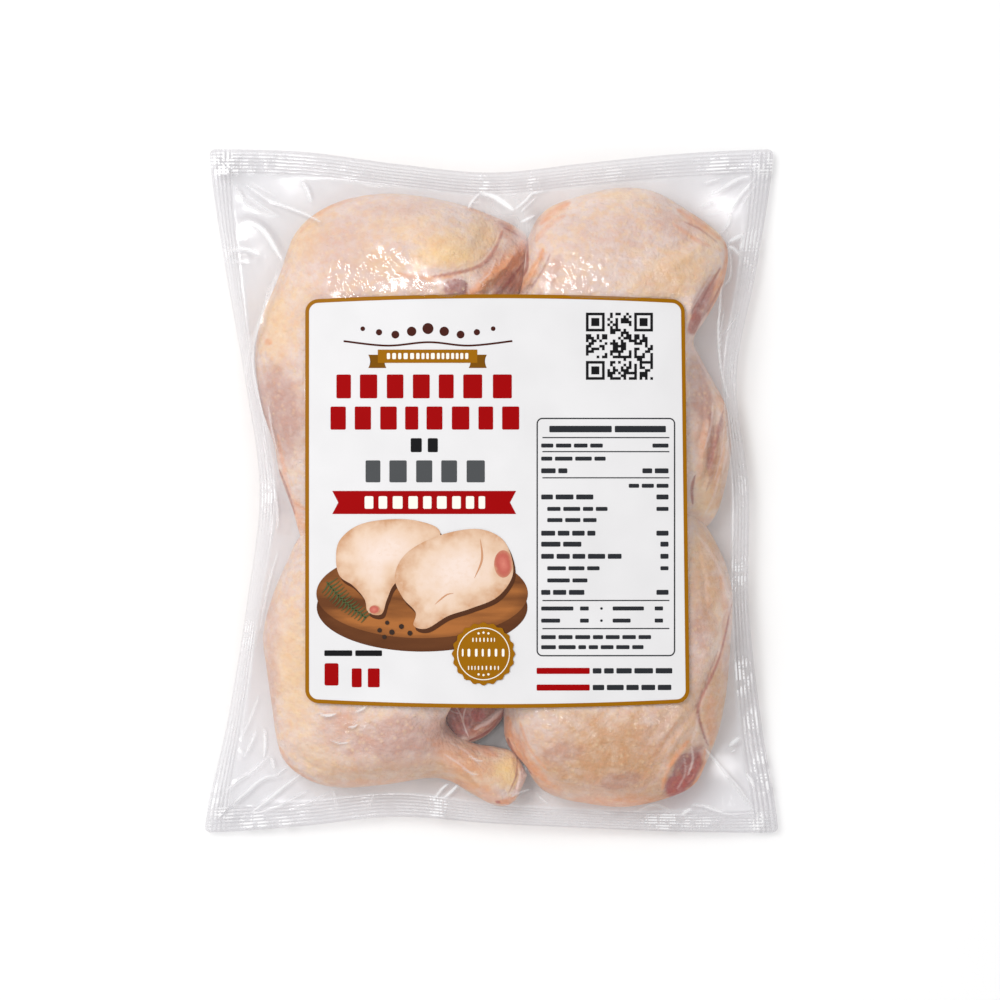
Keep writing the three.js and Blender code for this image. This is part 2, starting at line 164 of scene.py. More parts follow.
UPPER_RIGHT = {
    "outer": [(11.6, 98), (16.6, 111.5), (18.8, 122), (19.4, 134), (30, 149.5), (58, 159), (75, 160.4),
        (88, 157.6), (103.5, 148.6), (117, 139.2), (124, 131), (125, 121), (121.5, 106), (114, 92),
        (107, 80), (111, 69.5), (117, 58.5), (124.3, 44), (127, 27), (125.6, 12), (122.3, -3), (119, -12),
        (114, -18.5), (106, -20)],
    "inner": [(11.6, 98), (12.8, 84), (15, 64), (20, 42), (31, 22), (48, 7), (66, -3), (82, -9), (94, -15),
        (106, -20)],
    "heights": [30, 40, 45, 45, 44, 42, 39, 37, 36, 33, 24],
    "folds": [([(84, 121), (98, 128), (111, 137)], 2.4, -1.3),
        ([(88, 117), (102, 123), (117, 132)], 3.2, 1.2), ([(122, 121), (114, 105), (107, 90)], 2, -3.2),
        ([(117, 116), (109, 101), (104, 88)], 1.4, -1.6),
        ([(11, 102), (18.5, 111), (24, 119), (27, 127)], 2.6, 3),
        ([(17, 102), (25, 112), (31, 123)], 1.4, -1.6), ([(25, 101), (31, 110), (36, 121)], 1.6, 1),
        ([(108, 78), (115, 66), (121, 50), (126, 36)], 1.6, 1.3),
        ([(121, 47), (117, 30), (114, 12), (108, -8)], 1.5, -2.2),
        ([(106, 72), (112, 55), (112, 36), (107, 16)], 1.3, -1.2),
        ([(124, 36), (121.5, 18), (116, 0)], 1.2, -1.4), ([(117, 40), (113, 22), (110, 4)], 1.6, 1)],
    "patches": {
        "fat": [(100, 116, 22, 15, 25, 0.7), (82, 108, 16, 10, 0, 0.4), (117, 136, 8, 10, 30, 0.6),
            (66, 156, 18, 4, 0, 0.6), (33, 149, 10, 6, 35, 0.7), (124, 60, 7, 26, 0, 0.35),
            (112, 6, 8, 18, 0, 0.35), (113, -4, 8, 15, -10, 0.85)],
        "blush": [(60, 134, 28, 16, 8, 0.25), (98, 140, 18, 8, -20, 0.7), (40, 110, 16, 14, 0, 0.2),
            (112, 40, 9, 26, 0, 0.65), (110, 96, 6, 14, -25, 0.7)],
        "meat": [(112, 103, 4, 13, -28, 0.4), (116, 24, 2.2, 20, 0, 0.4), (107.5, 89, 3.4, 7.5, -20, 0.85)],
        "rust": [(119.5, 108, 2.4, 17, -22, 0.7), (31, 147, 12, 3, 40, 0.5), (109, 146, 9, 3, -32, 0.6),
            (122, 44, 3, 9, 15, 0.5)],
        "plum": [(112.5, 102, 3.6, 10, -30, 0.6), (110, 54, 6, 20, 12, 0.42), (111, 97, 5, 10, -25, 0.7)],
        # Tan: partly duller skin and partly painted shade on the right side, turned from the key light.
        "tan": [(94, 112, 18, 12, 25, 0.3), (117, 22, 10, 34, 8, 0.9)],
    },
    "strokes": {
        "rust": [(2.6, 0.85, [(27, 127), (23.5, 118), (18, 110), (11, 103)]),
            (2.6, 0.8, [(26, 141), (32, 147.5), (41, 152)]),
            (1.6, 0.5, [(23.5, 132), (30, 140), (39, 145.5)]),
            (2, 0.7, [(99, 148.5), (110, 141.5), (121, 133)]),
            (1.1, 0.5, [(96, 141), (106, 134), (116, 129)]),
            (1.8, 0.8, [(123.5, 133), (124.6, 121), (121, 108), (114, 93)]),
            (1.5, 0.75, [(109, 77), (116.5, 63), (123, 46)]), (2, 0.3, [(124, 40), (121.5, 20), (117, -2)]),
            (2, 0.3, [(112, 36), (111, 18), (108, 4)])],
        "fat": [(1.2, 0.7, [(26, 124), (21.5, 115.5), (13, 104.5)]),
            (2, 0.5, [(92, 104), (108, 120), (119, 130)]), (1.1, 0.7, [(116.5, 8), (114, -3), (111, -12)])],
        "meat": [(0.8, 0.45, [(31, 125), (27, 116), (17.5, 102.5)]),
            (1, 0.8, [(22, 147), (18.6, 136.2), (18.9, 127), (18.6, 117.7), (14.8, 110.9), (11.9, 104.6)]),
            (0.7, 0.5, [(102, 142), (111, 138), (119.5, 131)]),
            (0.9, 0.75, [(121, 118), (114, 106), (105.5, 91)]),
            (0.7, 0.55, [(122, 110), (117, 100), (111, 89)]), (0.8, 0.5, [(111, 80), (119, 64), (125, 44)]),
            (1, 0.45, [(122.4, 42), (119.4, 29), (115, 14)]),
            (0.9, 0.4, [(119.5, 22), (117, 10), (113.5, 0)]),
            (1.1, 0.8, [(107.4, 8), (105.8, 1), (106.4, -7)])],
        "blush": [(3.5, 0.8, [(36, 124), (31, 113), (25, 102)])],
        "pale": [(0.8, 0.5, [(33, 119), (29.5, 109), (26, 102)]),
            (0.6, 0.5, [(119, 118), (111.5, 106), (104, 93)]),
            (1.1, 0.5, [(104, 79), (112, 66), (120.5, 51)]),
            (0.9, 0.45, [(125.8, 42), (125, 25), (122, 9)]),
            (0.8, 0.45, [(120.5, 8), (117.5, -3), (113, -12)]),
            (0.7, 0.5, [(117, 46), (116, 34), (112.5, 22)]),
            (0.9, 0.7, [(114, 94), (110.5, 88), (107.5, 81)]),
            (0.6, 0.4, [(123, 34), (121.5, 20), (118, 6)])],
        "plum": [(2.2, 0.7, [(122, 40), (119, 27), (114.5, 12)])],
    },
}
LOWER_LEFT = {
    "outer": [(-90, -20), (-101, -24), (-108, -37), (-116, -56), (-120.8, -76), (-119, -94), (-116, -115),
        (-113.5, -132), (-109, -143.5), (-97, -152.8), (-80, -157), (-56, -155.3), (-34, -152),
        (-22, -153.5), (-10, -160.5), (3, -166.6), (12.4, -163.8), (18.8, -150.5)],
    "inner": [(-90, -20), (-72, -13), (-46, -5), (-18, -2), (3, -16), (12, -40), (8, -68), (-4, -92),
        (-19, -109), (-24, -120), (-19, -128.4), (-9, -133.6), (3, -135.6), (12.5, -139), (18.8, -150.5)],
    "heights": [26, 36, 41, 43, 42.5, 41.5, 40, 36, 30, 30, 27],
    "folds": [([(-111, -136), (-104, -146), (-90, -153)], 1.6, 1.1),
        ([(-107, -133), (-101, -142), (-88, -149)], 1.3, -1.2),
        ([(-116, -60), (-110, -84), (-112, -110)], 2.6, 0.7),
        ([(-44, -120), (-24, -132), (-10, -141)], 3, -0.8),
        ([(-30, -118), (-20, -131), (-6, -138)], 1.1, -0.7),
        ([(12, -140), (14.5, -150), (12, -162)], 1.2, -1.3),
        ([(-34, -147), (-18, -149), (-4, -158)], 2, -0.6)],
    "patches": {
        "fat": [(-104, -95, 14, 46, 3, 0.75), (-92, -140, 22, 10, -30, 0.5), (-5, -148, 15, 12, -20, 0.75),
            (-24, -140, 14, 10, -25, 0.35), (-58, -132, 26, 14, 0, 0.15), (-10, -142, 20, 14, -25, 0.35)],
        "yolk": [(8.5, -148, 7.5, 11, 8, 1), (11, -146, 6, 8, 0, 0.6)],
        # Tan, and rust along the bottom rim, are partly the skin's own colour and partly painted shade on
        # the lower side, turned from the key light.
        "tan": [(-50, -149, 46, 10, 3, 0.7), (-16, -156, 20, 7, -22, 0.5)],
        "rust": [(-54, -154.5, 40, 3, 2, 0.4), (-78, -121, 11, 9, 0, 0.22), (-14, -141, 18, 10, -25, 0.6),
            (-2, -161, 12, 6, -30, 0.55), (-106, -147, 9, 3, -35, 0.5)],
        "blush": [(-48, -132, 36, 17, 4, 0.95), (-78, -122, 11, 9, 0, 0.6), (-116, -100, 4, 34, 2, 0.7),
            (15, -158, 3.5, 4, 0, 0.9), (-82, -128, 9, 13, 0, 0.7), (-116, -70, 6, 20, 5, 0.6)],
        "plum": [(-50, -130, 32, 12, 4, 0.24)],
    },
    "strokes": {
        "pale": [(1.9, 0.9, [(17, -144), (16.6, -149), (14.6, -156), (11.2, -161.5)]),
            (0.7, 0.5, [(-22, -133), (-13, -138), (-6, -145)]),
            (0.6, 0.45, [(-25, -139), (-16, -145), (-9, -151)]),
            (0.9, 0.3, [(-117, -120), (-113, -136), (-104, -146)])],
        "fat": [(1.6, 0.7, [(6, -141), (13, -142.5)])],
        "rust": [(2.2, 1, [(4, -164.6), (8, -164), (12.6, -161.6)]),
            (2.6, 0.65, [(-10, -135.8), (-3, -138), (3, -140)]),
            (3.2, 0.45, [(-34, -131), (-22, -137), (-12, -143), (-5, -152)]),
            (2, 0.6, [(-28, -152), (-14, -156), (-2, -163)]),
            (1.4, 0.5, [(-112, -136), (-105, -147), (-92, -154.5)])],
        "raw_red": [(0.9, 0.9, [(2.2, -164.4), (4.6, -164.8)])],
        "meat": [(0.6, 0.6, [(13.5, -141), (13.2, -150), (9, -160)])],
        # Tan strokes along the bottom rim: partly the skin's colour and partly painted shade.
        "tan": [(1.6, 0.8, [(-30, -143), (-16, -149), (-6, -157)]),
            (1.6, 0.6, [(-80, -156), (-56, -154.5), (-34, -151)])],
        "blush": [(3, 0.5, [(-119, -80), (-117, -100), (-114, -122)])],
    },
}
LOWER_RIGHT = {
    "outer": [(102, -8), (107.5, -11.5), (112.6, -17), (118, -26), (124.4, -40), (127.8, -58), (126.5, -80),
        (124.5, -105), (120.4, -126), (113.5, -144), (107, -155.5), (93, -162.5), (70, -167.2),
        (46, -164.6), (34, -161.6), (27, -158), (21.8, -152.2), (18.4, -146), (13.6, -140.6), (9.4, -135.4),
        (6.8, -128.5), (6.6, -119)],
    "inner": [(102, -8), (94, -2), (82, 2), (66, 4), (42, 4), (22, -8), (12, -34), (8, -66), (5.8, -96),
        (6.6, -119)],
    "heights": [22, 32, 37, 40, 41, 42, 42.5, 43.5, 42.5, 39, 30],
    "folds": [([(128, -58), (119, -86), (110, -110), (107, -117)], 1.2, -1.9),
        ([(109, -112), (111, -124), (114, -134)], 1.1, -1.6),
        ([(123, -62), (114, -88), (105, -110)], 3, 0.9),
        ([(110, -113), (101, -123), (91, -133), (84, -143)], 1.8, -1),
        ([(106, -122), (97, -132), (88, -144)], 1.6, 0.7),
        ([(106, -22), (112, -44), (113, -66)], 1.5, -0.9),
        ([(20, -146), (34, -155), (60, -161), (88, -156)], 2.2, -0.7),
        ([(105, -132), (94, -147), (90, -159)], 1.5, 1.3),
        ([(112, -134), (109.5, -150), (100, -162.5)], 1.5, 1.2),
        ([(104, -112), (92, -128), (82, -146)], 1.3, 0.8),
        ([(100, -110), (86, -126), (76, -142)], 1.3, -0.7)],
    "dish": (101.6, -148, 6.2, 14.6, -35, 2.2),
    "patches": {
        "fat": [(60, -135, 26, 16, 0, 0.4), (40, -118, 12, 8, 0, 0.25), (118, -70, 8, 22, 0, 0.4),
            (98, -120, 12, 14, 0, 0.3), (112, -30, 10, 12, 0, 0.3), (110, -34, 10, 16, -15, 0.5),
            (70, -128, 16, 10, -30, 0.35)],
        "blush": [(34, -137, 16, 9, 0, 0.35), (62, -156, 26, 7, 4, 0.4), (108, -84, 8, 22, 0, 0.5),
            (86, -126, 10, 18, -30, 0.25)],
        # Rust along the bottom rim: partly the skin's orange rim and partly painted shade.
        "rust": [(13, -136, 7, 15, 28, 0.8), (30, -157, 12, 6, -38, 0.5), (64, -165, 42, 5, -1, 0.8),
            (100, -160.5, 14, 3.4, 24, 0.7), (112.5, -148, 3, 12, -30, 0.6)],
        # Tan over the lower body and the right side: partly duller skin and partly painted shade, darker
        # towards the bottom and right, away from the key light.
        "tan": [(66, -143, 57, 31, 0, 1), (104, -112, 12, 26, -20, 0.6), (118, -110, 9, 30, -12, 0.75),
            (113, -46, 13, 30, -12, 0.65)],
        "plum": [(38, -138, 11, 6, 10, 0.3), (68, -153, 12, 4.5, 12, 0.35), (113, -72, 7, 14, 0, 0.3),
            (124, -78, 2.5, 22, 0, 0.3), (102.2, -147.6, 7.2, 15.4, -36, 1)],
        "meat": [(103.6, -149, 5.4, 13.8, -36, 0.95)],
        "raw_red": [(97.5, -156, 5.6, 6.4, -35, 1), (105, -149, 2.6, 8, -35, 0.6)],
    },
    "strokes": {
        "pale": [(0.7, 0.75, [(105.5, -134.5), (106.4, -142), (104, -150)]),
            (0.5, 0.5, [(101.5, -140), (102.5, -149), (98, -158)]),
            (0.9, 0.45, [(109, -118), (108, -126), (105.5, -133)]),
            (0.8, 0.35, [(101, -126), (93, -139), (87, -153)]),
            (1.2, 0.4, [(108, -22), (119, -38), (126, -58), (126, -80)])],
        "rust": [(1.3, 0.8, [(104, -132), (94.5, -145), (90.2, -158)]),
            (1.4, 0.8, [(113, -136), (110.5, -150), (100, -162.8)]),
            (2.4, 0.5, [(116, -108), (116, -122), (116.5, -134)]),
            (2.6, 0.8, [(8.6, -120), (11, -132), (20, -145), (31, -155)]),
            (1, 0.5, [(15, -122), (20, -136), (29, -147)]),
            (0.8, 0.4, [(98, -122), (88, -136), (80, -152)]),
            (1.6, 0.4, [(121, -44), (124, -66), (121, -92)])],
        "meat": [(0.9, 0.8, [(127, -60), (120.4, -88), (109.5, -113), (110.6, -123.6), (114.6, -135)]),
            (0.5, 0.45, [(120, -84), (112, -104), (107, -116)]),
            (1, 0.85, [(8.5, -131), (11.5, -138), (16, -144), (21, -149.5)])],
        "blush": [(1.1, 0.6, [(100, -113), (88, -127), (77, -141)]),
            (0.9, 0.6, [(105, -118), (93, -133), (84, -147)]),
            (1.2, 0.6, [(94, -142), (85, -154), (74, -160)])],
        "fat": [(1.2, 0.4, [(97, -116), (85, -130), (76, -145)])],
    },
}
INNER_CUT = {
    "outer": [(-28, -113), (-24, -125), (-18, -131.4), (-11, -133), (-3.6, -130), (2, -125), (6.4, -119.4),
        (9, -111)],
    "inner": [(-28, -113), (-18, -101), (-8, -95), (3, -99), (9, -111)],
    "heights": [16, 20, 22, 21, 20, 19],
    "folds": [([(-21, -108), (-18, -118), (-13, -129)], 1.6, -2.2),
        ([(-12.5, -129.4), (-8, -127.2), (-1, -122.6), (5, -116.4), (10, -110)], 2.6, 4),
        ([(-6, -110), (-9, -119), (-12, -127)], 1.2, -1.4)],
    "patches": {
        "meat": [(-8, -114, 17, 18, 0, 0.8), (-19, -121, 6, 9, 20, 0.35)],
        "plum": [(-18.5, -121, 7.5, 12, 20, 1)],
        "fat": [(-20, -104, 6, 5, 0, 0.4)],
        "raw_red": [(-7, -118.5, 4, 4.5, 30, 0.9)],
    },
    "strokes": {
        "pale": [(0.5, 0.7, [(-20, -112), (-16.5, -118), (-14.5, -124), (-12, -130.4)]),
            (0.5, 0.6, [(-12.5, -112), (-15, -120), (-13.4, -128)]),
            (0.4, 0.4, [(-25, -114), (-20, -117), (-15.6, -118)]),
            (1.8, 0.5, [(-9, -126), (-3, -122.4), (3, -117.4), (7, -112)])],
        # The tan stroke here is the bone's own colour along its ridge.
        "tan": [(4.4, 1, [(-12, -128), (-7, -125.4), (-1, -121), (5, -115), (9, -110)])],
        "rust": [(1.2, 0.8, [(-11, -122.6), (-5, -118.6), (0, -113.6), (3, -109)])],
        "meat": [(1.1, 1, [(-11.5, -132), (-4, -128.6), (1.6, -124), (6.4, -117.4)]),
            (0.7, 0.7, [(-13, -130), (-10.5, -128.6), (-9.6, -124)])],
    },
}
QUARTERS = {
    "upper_left": UPPER_LEFT, "upper_right": UPPER_RIGHT, "lower_left": LOWER_LEFT,
    "lower_right": LOWER_RIGHT, "inner_cut": INNER_CUT,
}
# The tan look also carries painted shade on the quarters' lower and right sides.
SKIN_LOOKS = ("fat", "tan", "blush", "plum", "rust", "yolk")
LOOKS = (*SKIN_LOOKS, "meat", "raw_red", "pale")
BELLY_Z = 14
UNDERSIDE_Z = 1.2
UNDERSIDE_LUMPS = 0.6
UNDERSIDE_FADE = (4, 9)
MEAT_UNDER_LABEL = 1.0
MEAT_UNDER_FILM = 0.25
MEAT_LOWEST = 0.8
PRESS_BLEND = 1.5

# Layers of noise: the height of each, its spacing or its cell's width and length, and its seed
LABEL_WAVES = ((1, 34, 5), (0.5, 17, 6))
SKIN_LUMPS = ((0.8, 24, 11), (0.4, 11, 12), (0.12, 3.5, 13))
UNEVEN_EDGES = ((0.16, 7, 21), (0.12, 3, 22))
CRINKLES = ((1, 2.3, 4.2, 51), (0.35, 1.7, 2.6, 54))
RIPPLES = ((0.13, 7, 11, 57), (0.06, 3.5, 5, 60))
NOISE_CELLS = 128

# How a patch's edge fades, and how a stroke does: where it ends, where it is full and how uneven it is
SHARP_PATCHES, SHARP_PATCH, SOFT_PATCH = ("meat", "raw_red", "pale", "plum"), 0.24, 0.75
SHARP_STROKES, SHARP_STROKE, SOFT_STROKE = ("meat", "raw_red", "pale"), (1.25, 0.45, 0.8), (1.7, 0.1, 2.6)

# Creases of the film: the points each runs through, its width, its height and how white its crest is,
# partly milky film and partly painted highlight
CREASES = [([(-130, 162), (-119, 154.5), (-112.8, 152), (-98.8, 146.5), (-90, 142)], 0.9, 0.9, 0.9),
    ([(-127, 163), (-114, 156)], 0.8, 0.4, 0.35),
    ([(-134.4, 162.6), (-134.8, 158), (-128.8, 150.7), (-115.6, 145)], 1.2, 0.6, 0.35),
    ([(-134.2, 159), (-131, 153.8)], 0.9, 0.6, 0.8),
    ([(-130, 157), (-119, 149), (-112.6, 145)], 1.3, 0.7, 0.3),
    ([(-132, 141.7), (-127.5, 142), (-120.5, 137.5), (-114.9, 129.1), (-111.5, 123)], 1.9, 1.2, 0.95),
    ([(-140, 127), (-131, 128), (-123, 125)], 1.8, 0.8, 0.6),
    ([(-138, 122), (-128, 120.5)], 1.2, 0.5, 0.35),
    ([(-100, 164), (-97, 158), (-95.5, 153)], 1.1, 0.8, 0.8),
    ([(-70, 163), (-60, 161), (-52, 162.5)], 1, 0.5, 0.3),
    ([(-117.5, 109), (-120.6, 96), (-124.2, 83.5), (-126, 75), (-125.8, 62), (-122, 44),
     (-117, 28)], 0.7, 0.5, 0.6), ([(-113, 117), (-121, 94), (-129, 72), (-131, 52)], 1.8, 0.5, 0.3),
    ([(-118, 45), (-116, 32), (-113.5, 22)], 0.8, 0.4, 0.5),
    ([(-121, 40), (-119.5, 20), (-117, 0), (-117, -22)], 0.9, 0.5, 0.4),
    ([(-119, 14), (-116.5, -6), (-117, -26)], 0.8, 0.5, 0.45),
    ([(-116.5, 9), (-113.5, -8), (-113, -20)], 0.9, 0.5, 0.5),
    ([(-113, -32), (-118.5, -52), (-122.5, -74)], 0.7, 0.4, 0.4),
    ([(-6.1, 157.8), (-10.3, 153.3), (-12.4, 149.1)], 0.9, 0.8, 0.85),
    ([(-6, 158), (1, 156), (6, 152.8), (11.5, 148.6)], 1.9, 1.2, 1),
    ([(-11, 152.5), (-6, 152.6)], 0.8, 0.4, 0.4),
    ([(28, 158.5), (21.8, 157.5), (18, 153.6), (12.7, 149.1)], 1, 0.8, 0.7),
    ([(24.5, 156), (19.5, 151.5), (15.5, 147.5)], 0.7, 0.5, 0.45),
    ([(23, 145.8), (15.5, 142.1)], 1, 0.6, 0.6),
    ([(139.5, 166), (136, 161.8), (131.9, 156.9), (127, 149.9), (125.6, 147.8)], 1.1, 0.9, 0.85),
    ([(141, 164), (136.5, 157.5), (132, 151)], 0.8, 0.6, 0.45),
    ([(125.6, 147.8), (126.2, 144.3), (124.8, 140.1), (121.4, 136.6)], 0.7, 0.6, 0.6),
    ([(137.4, 166.6), (132.5, 165.9), (127, 163.4), (122.8, 160.4), (116.5, 156.9)], 1.5, 0.9, 0.75),
    ([(121, 165.6), (112.6, 163)], 1.1, 0.6, 0.55), ([(120, 153.7), (110.2, 150.3)], 0.9, 0.5, 0.4),
    ([(125.6, 148.5), (119, 147), (113, 145.7)], 0.8, 0.4, 0.3),
    ([(125.6, 131.8), (133.3, 135.9)], 1.6, 1, 1),
    ([(125.1, 129.4), (128.5, 128), (131, 124.8)], 1.2, 0.9, 0.9),
    ([(133.3, 135.9), (131.5, 126)], 0.9, 0.7, 0.8),
    ([(124.6, 138), (126.6, 121), (125.8, 112), (121.6, 108)], 0.7, 0.4, 0.4),
    ([(121.5, 110), (120.7, 96.6), (119.9, 82.7), (121.5, 64), (125.2, 49)], 0.7, 0.8, 0.9),
    ([(123, 98), (121.3, 84), (121.2, 76)], 0.5, 0.4, 0.5), ([(128.6, 91), (123, 82.7)], 0.8, 0.4, 0.4),
    ([(136, 112), (131, 90), (129, 70)], 1.4, 0.4, 0.12),
    ([(133, 40), (131.5, 10), (128, -20), (131, -50)], 1.3, 0.4, 0.15),
    ([(-117.6, -140), (-126.6, -148.2), (-134.3, -152.9), (-141, -159.5)], 1.3, 0.8, 0.45),
    ([(-112.6, -150.5), (-118.9, -151.2), (-123.8, -154), (-128.7, -158.5), (-134.3, -163.3),
     (-138, -167)], 1.4, 0.9, 0.75),
    ([(-101.5, -150.1), (-109.9, -156.4), (-115.5, -161.3), (-121, -165.5), (-127, -170)], 1.2, 1, 0.9),
    ([(-98, -158.8), (-109.9, -165.5), (-116.9, -168.2), (-126, -171)], 1, 0.8, 0.7),
    ([(-86, -159.5), (-97, -165), (-108, -169.5)], 1.1, 0.6, 0.4),
    ([(-120.2, -126), (-119.8, -133), (-120.5, -140.5)], 0.8, 0.9, 0.95),
    ([(-124.8, -127), (-127.2, -133), (-130.5, -140)], 1.3, 0.7, 0.5),
    ([(-116.5, -141), (-115, -147)], 1.1, 0.7, 0.7),
    ([(-123, -108), (-127.5, -120), (-132, -130)], 1.1, 0.5, 0.3),
    ([(-108, -146), (-114, -150)], 0.7, 0.5, 0.5), ([(-84, -158), (-82, -167)], 1, 0.5, 0.35),
    ([(-62, -160), (-66, -169)], 1, 0.5, 0.3),
    ([(-18, -155.6), (-21.4, -159.1), (-25.6, -162.5)], 1.2, 1, 1),
    ([(-22.8, -154.9), (-26.3, -157.6), (-31.2, -164)], 1, 0.8, 0.85),
    ([(12, -160.4), (20.4, -157.6)], 0.6, 0.4, 0.35), ([(24, -160), (30, -166)], 1, 0.5, 0.3),
    ([(52, -169), (66, -171)], 0.9, 0.4, 0.3),
    ([(112.7, -136), (118.3, -142.6), (124.6, -149.9), (130.9, -157.2), (138, -167)], 0.8, 0.9, 0.75),
    ([(122, -148.6), (130, -158.6), (135.5, -166.5)], 0.6, 0.4, 0.4),
    ([(126, -134.8), (131.2, -130.3)], 1.7, 1.2, 1), ([(126.4, -138), (129.5, -137)], 0.7, 0.5, 0.5),
    ([(135, -149.6), (137.4, -153.2), (139.2, -157.2)], 1.4, 0.9, 0.95),
    ([(135.7, -130.7), (138.5, -140.5), (139.9, -147.4)], 0.7, 0.5, 0.5),
    ([(133, -100), (131, -114), (133, -126)], 1, 0.4, 0.2),
    ([(106, -166.2), (112, -166.6), (116.9, -168.4), (125.3, -171.1), (135.7, -170.8)], 0.9, 0.8, 0.75),
    ([(100.5, -171), (105.8, -168)], 1.5, 0.9, 1),
    ([(86.1, -171.3), (97, -171.2), (108.4, -171.9)], 0.7, 0.4, 0.5),
    ([(78, -169), (86.5, -166), (97, -170.5)], 1.3, 0.6, 0.3),
    ([(-90, -117.9), (-86, -118.6), (-82, -117.5)], 1, 0.3, 0.85),
    ([(-72, -116.6), (-69, -115.6), (-66, -113.5)], 0.8, 0.3, 0.6),
    ([(-76, -124.2), (-73, -124.6), (-70.6, -123.2)], 0.8, 0.3, 0.8),
    ([(-84.7, -131.6), (-80, -133.2), (-75, -132.4)], 0.6, 0.3, 0.65),
    ([(-12, -140), (-8, -142), (-4.5, -142.6)], 0.6, 0.2, 0.5),
    ([(-16, -146), (-11, -149), (-7, -150)], 0.6, 0.2, 0.4),
    ([(126, 72), (127.5, 60), (129.5, 48)], 0.5, 0.3, 0.5)]

# Where the seal's ribs get painted glints, white dashes on their crests: middle, half axes, strength
SPARKLES = [(-141, 172, 11, 9, 0.8), (-122, 173, 16, 7, 0.5), (-78, 165, 6, 9, 0.55),
    (-146.5, 126, 8, 9, 0.8), (-4.5, 164, 4, 8, 0.65), (22, 163, 4, 7, 0.45), (64, 168, 8, 5, 0.3),
    (122, 173, 16, 5, 0.7), (145, 172, 8, 8, 0.55), (138, 129, 7, 11, 0.95), (141, 108, 5, 12, 0.35),
    (-117, -3, 7, 10, 0.6), (-149, -160, 6, 10, 0.7), (-126, -176, 8, 7, 0.9), (-111, -176, 6, 5, 0.6),
    (-141, -170, 10, 6, 0.4), (-29, -167, 6, 7, 1), (-67, -174, 8, 5, 0.45), (93, -175, 16, 5, 0.9),
    (114, -177, 9, 5, 0.7), (143.5, -149, 7, 13, 1), (140, -174, 5, 7, 0.7), (131.5, 70, 3, 6, 0.6),
    (133, 4, 3, 12, 0.4), (131, -43, 7, 10, 1), (131.5, -98, 7, 11, 1), (-129, -76, 5, 9, 0.4),
    (138, -122, 5, 10, 0.6)]

# Places where the film clings to the wet skin in fine crinkles: middle, half axes, strength
CLINGS = [(-66, 113, 24, 19, 1), (-49, 124, 14, 8, 0.6), (-40, 108, 12, 9, 0.5), (44, 116, 20, 17, 1),
    (60, 106, 14, 8, 0.5), (-76, -123, 14, 7, 0.6), (33, -119, 16, 8, 0.7), (-108, 42, 9, 22, 0.5),
    (-102, 8, 7, 18, 0.5), (-104, -18, 5, 10, 0.5), (2, -146, 9, 7, 0.5), (112, 24, 8, 24, 0.3),
    (-104, -110, 10, 26, 0.2), (84, -122, 18, 9, 0.3)]
# Gaps between the quarters where the back film gets painted shade, the meat's shadow: middle, half axes,
# strength
DEEP_GAPS = [(3, -129, 15, 10, 0.65), (5, -118, 6, 8, 0.8), (19, -157, 8, 8, 0.2)]
# Places where the loose film and the seal are painted lighter with milky white, as painted light: middle,
# half axes, strength
FILM_PAINTED_LIGHT = [(8, 151, 14, 10, 0.46), (17, 138, 6, 12, 0.4), (-66, 166, 62, 9, 0.1), (70, 168, 50, 8, 0.05),
    (-142, -160, 9, 16, 0.14), (24, -163, 18, 6, 0.12), (-126, 150, 14, 16, 0.06), (2, -151, 12, 14, 0.05)]
KEY_SIDE = (-0.84, 0.54)
FILM_MARKS = ("crinkle", "milk", "shade")
CRINKLE_LEAST = 0.12
CRINKLE_HEIGHT = 0.62
RIB_HEIGHT = 0.12

# How the films are stretched: how far they keep from the meat, where the
# back one starts, and the rounds on each grid from the coarse to the fine
FILM_OVER_MEAT = 0.5
BACK_UNDER_MEAT = 0.6
BACK_START = 2.0
BACK_LOWEST = 0.3
RELAX_ROUNDS = ((8, 400), (4, 160), (2, 90), (1, 60))
NO_MEAT_Z = 60.0
NO_FILM_Z = 99.0

# The studio: the world's light, lamps with place, size and power, and
# those that only gloss shows, each with its place across and along
WORLD_LIGHT = 0.62
KEY_LAMP = ((-2.1, 1.44, 3.7), 2.6, 124)
FILL_LAMP = ((0.7, -2.4, 2.6), 2.2, 10)
GLINT_Z = 1.9
GLINTS = [(-0.85, 0.36, 0.4, 12), (-0.34, 0.12, 0.4, 12), (-0.14, -0.2, 0.3, 1.2), (0.8, 0.85, 0.2, 0.9),
          (0.95, -0.5, 0.2, 0.9), (-0.3, -1.2, 0.2, 0.9)]
TABLE_REACH = 3000
CAMERA_PLACE = (0.0045, -0.0048)
SENSOR_WIDTH = 36


def linear(red, green, blue):
    """A colour that is given as it shows on screen, from 0 to 255, in Blender's linear values."""
    shown = np.array([red, green, blue]) / 255
    curved = ((shown + 0.055) / 1.055) ** 2.4
    return tuple(float(v) for v in np.where(shown <= 0.04045, shown / 12.92, curved))


def smooth_line(values, t):
    """Cubic curve through values at even steps of t from 0 to 1, with the slope at
    each half that between its two neighbours. Values may be numbers or points."""
    values = np.asarray(values, float)
    last = len(values) - 1
    place = np.clip(t, 0, 1) * last
    i = np.minimum(place.astype(int), last - 1)
    f = place - i
    if values.ndim > 1:
        f = f[..., None]

    def at(k):
        return values[np.clip(k, 0, last)]

    start, end, rise = (at(i + 1) - at(i - 1)) / 2, (at(i + 2) - at(i)) / 2, at(i + 1) - at(i)
    return at(i) + f * (start + f * (3 * rise - 2 * start - end + f * (start + end - 2 * rise)))


def smooth_step(low, high, x):
    """0 below low, 1 above high, and 3t^2 - 2t^3 between them."""
    t = np.clip((x - low) / (high - low), 0, 1)
    return t * t * (3 - 2 * t)


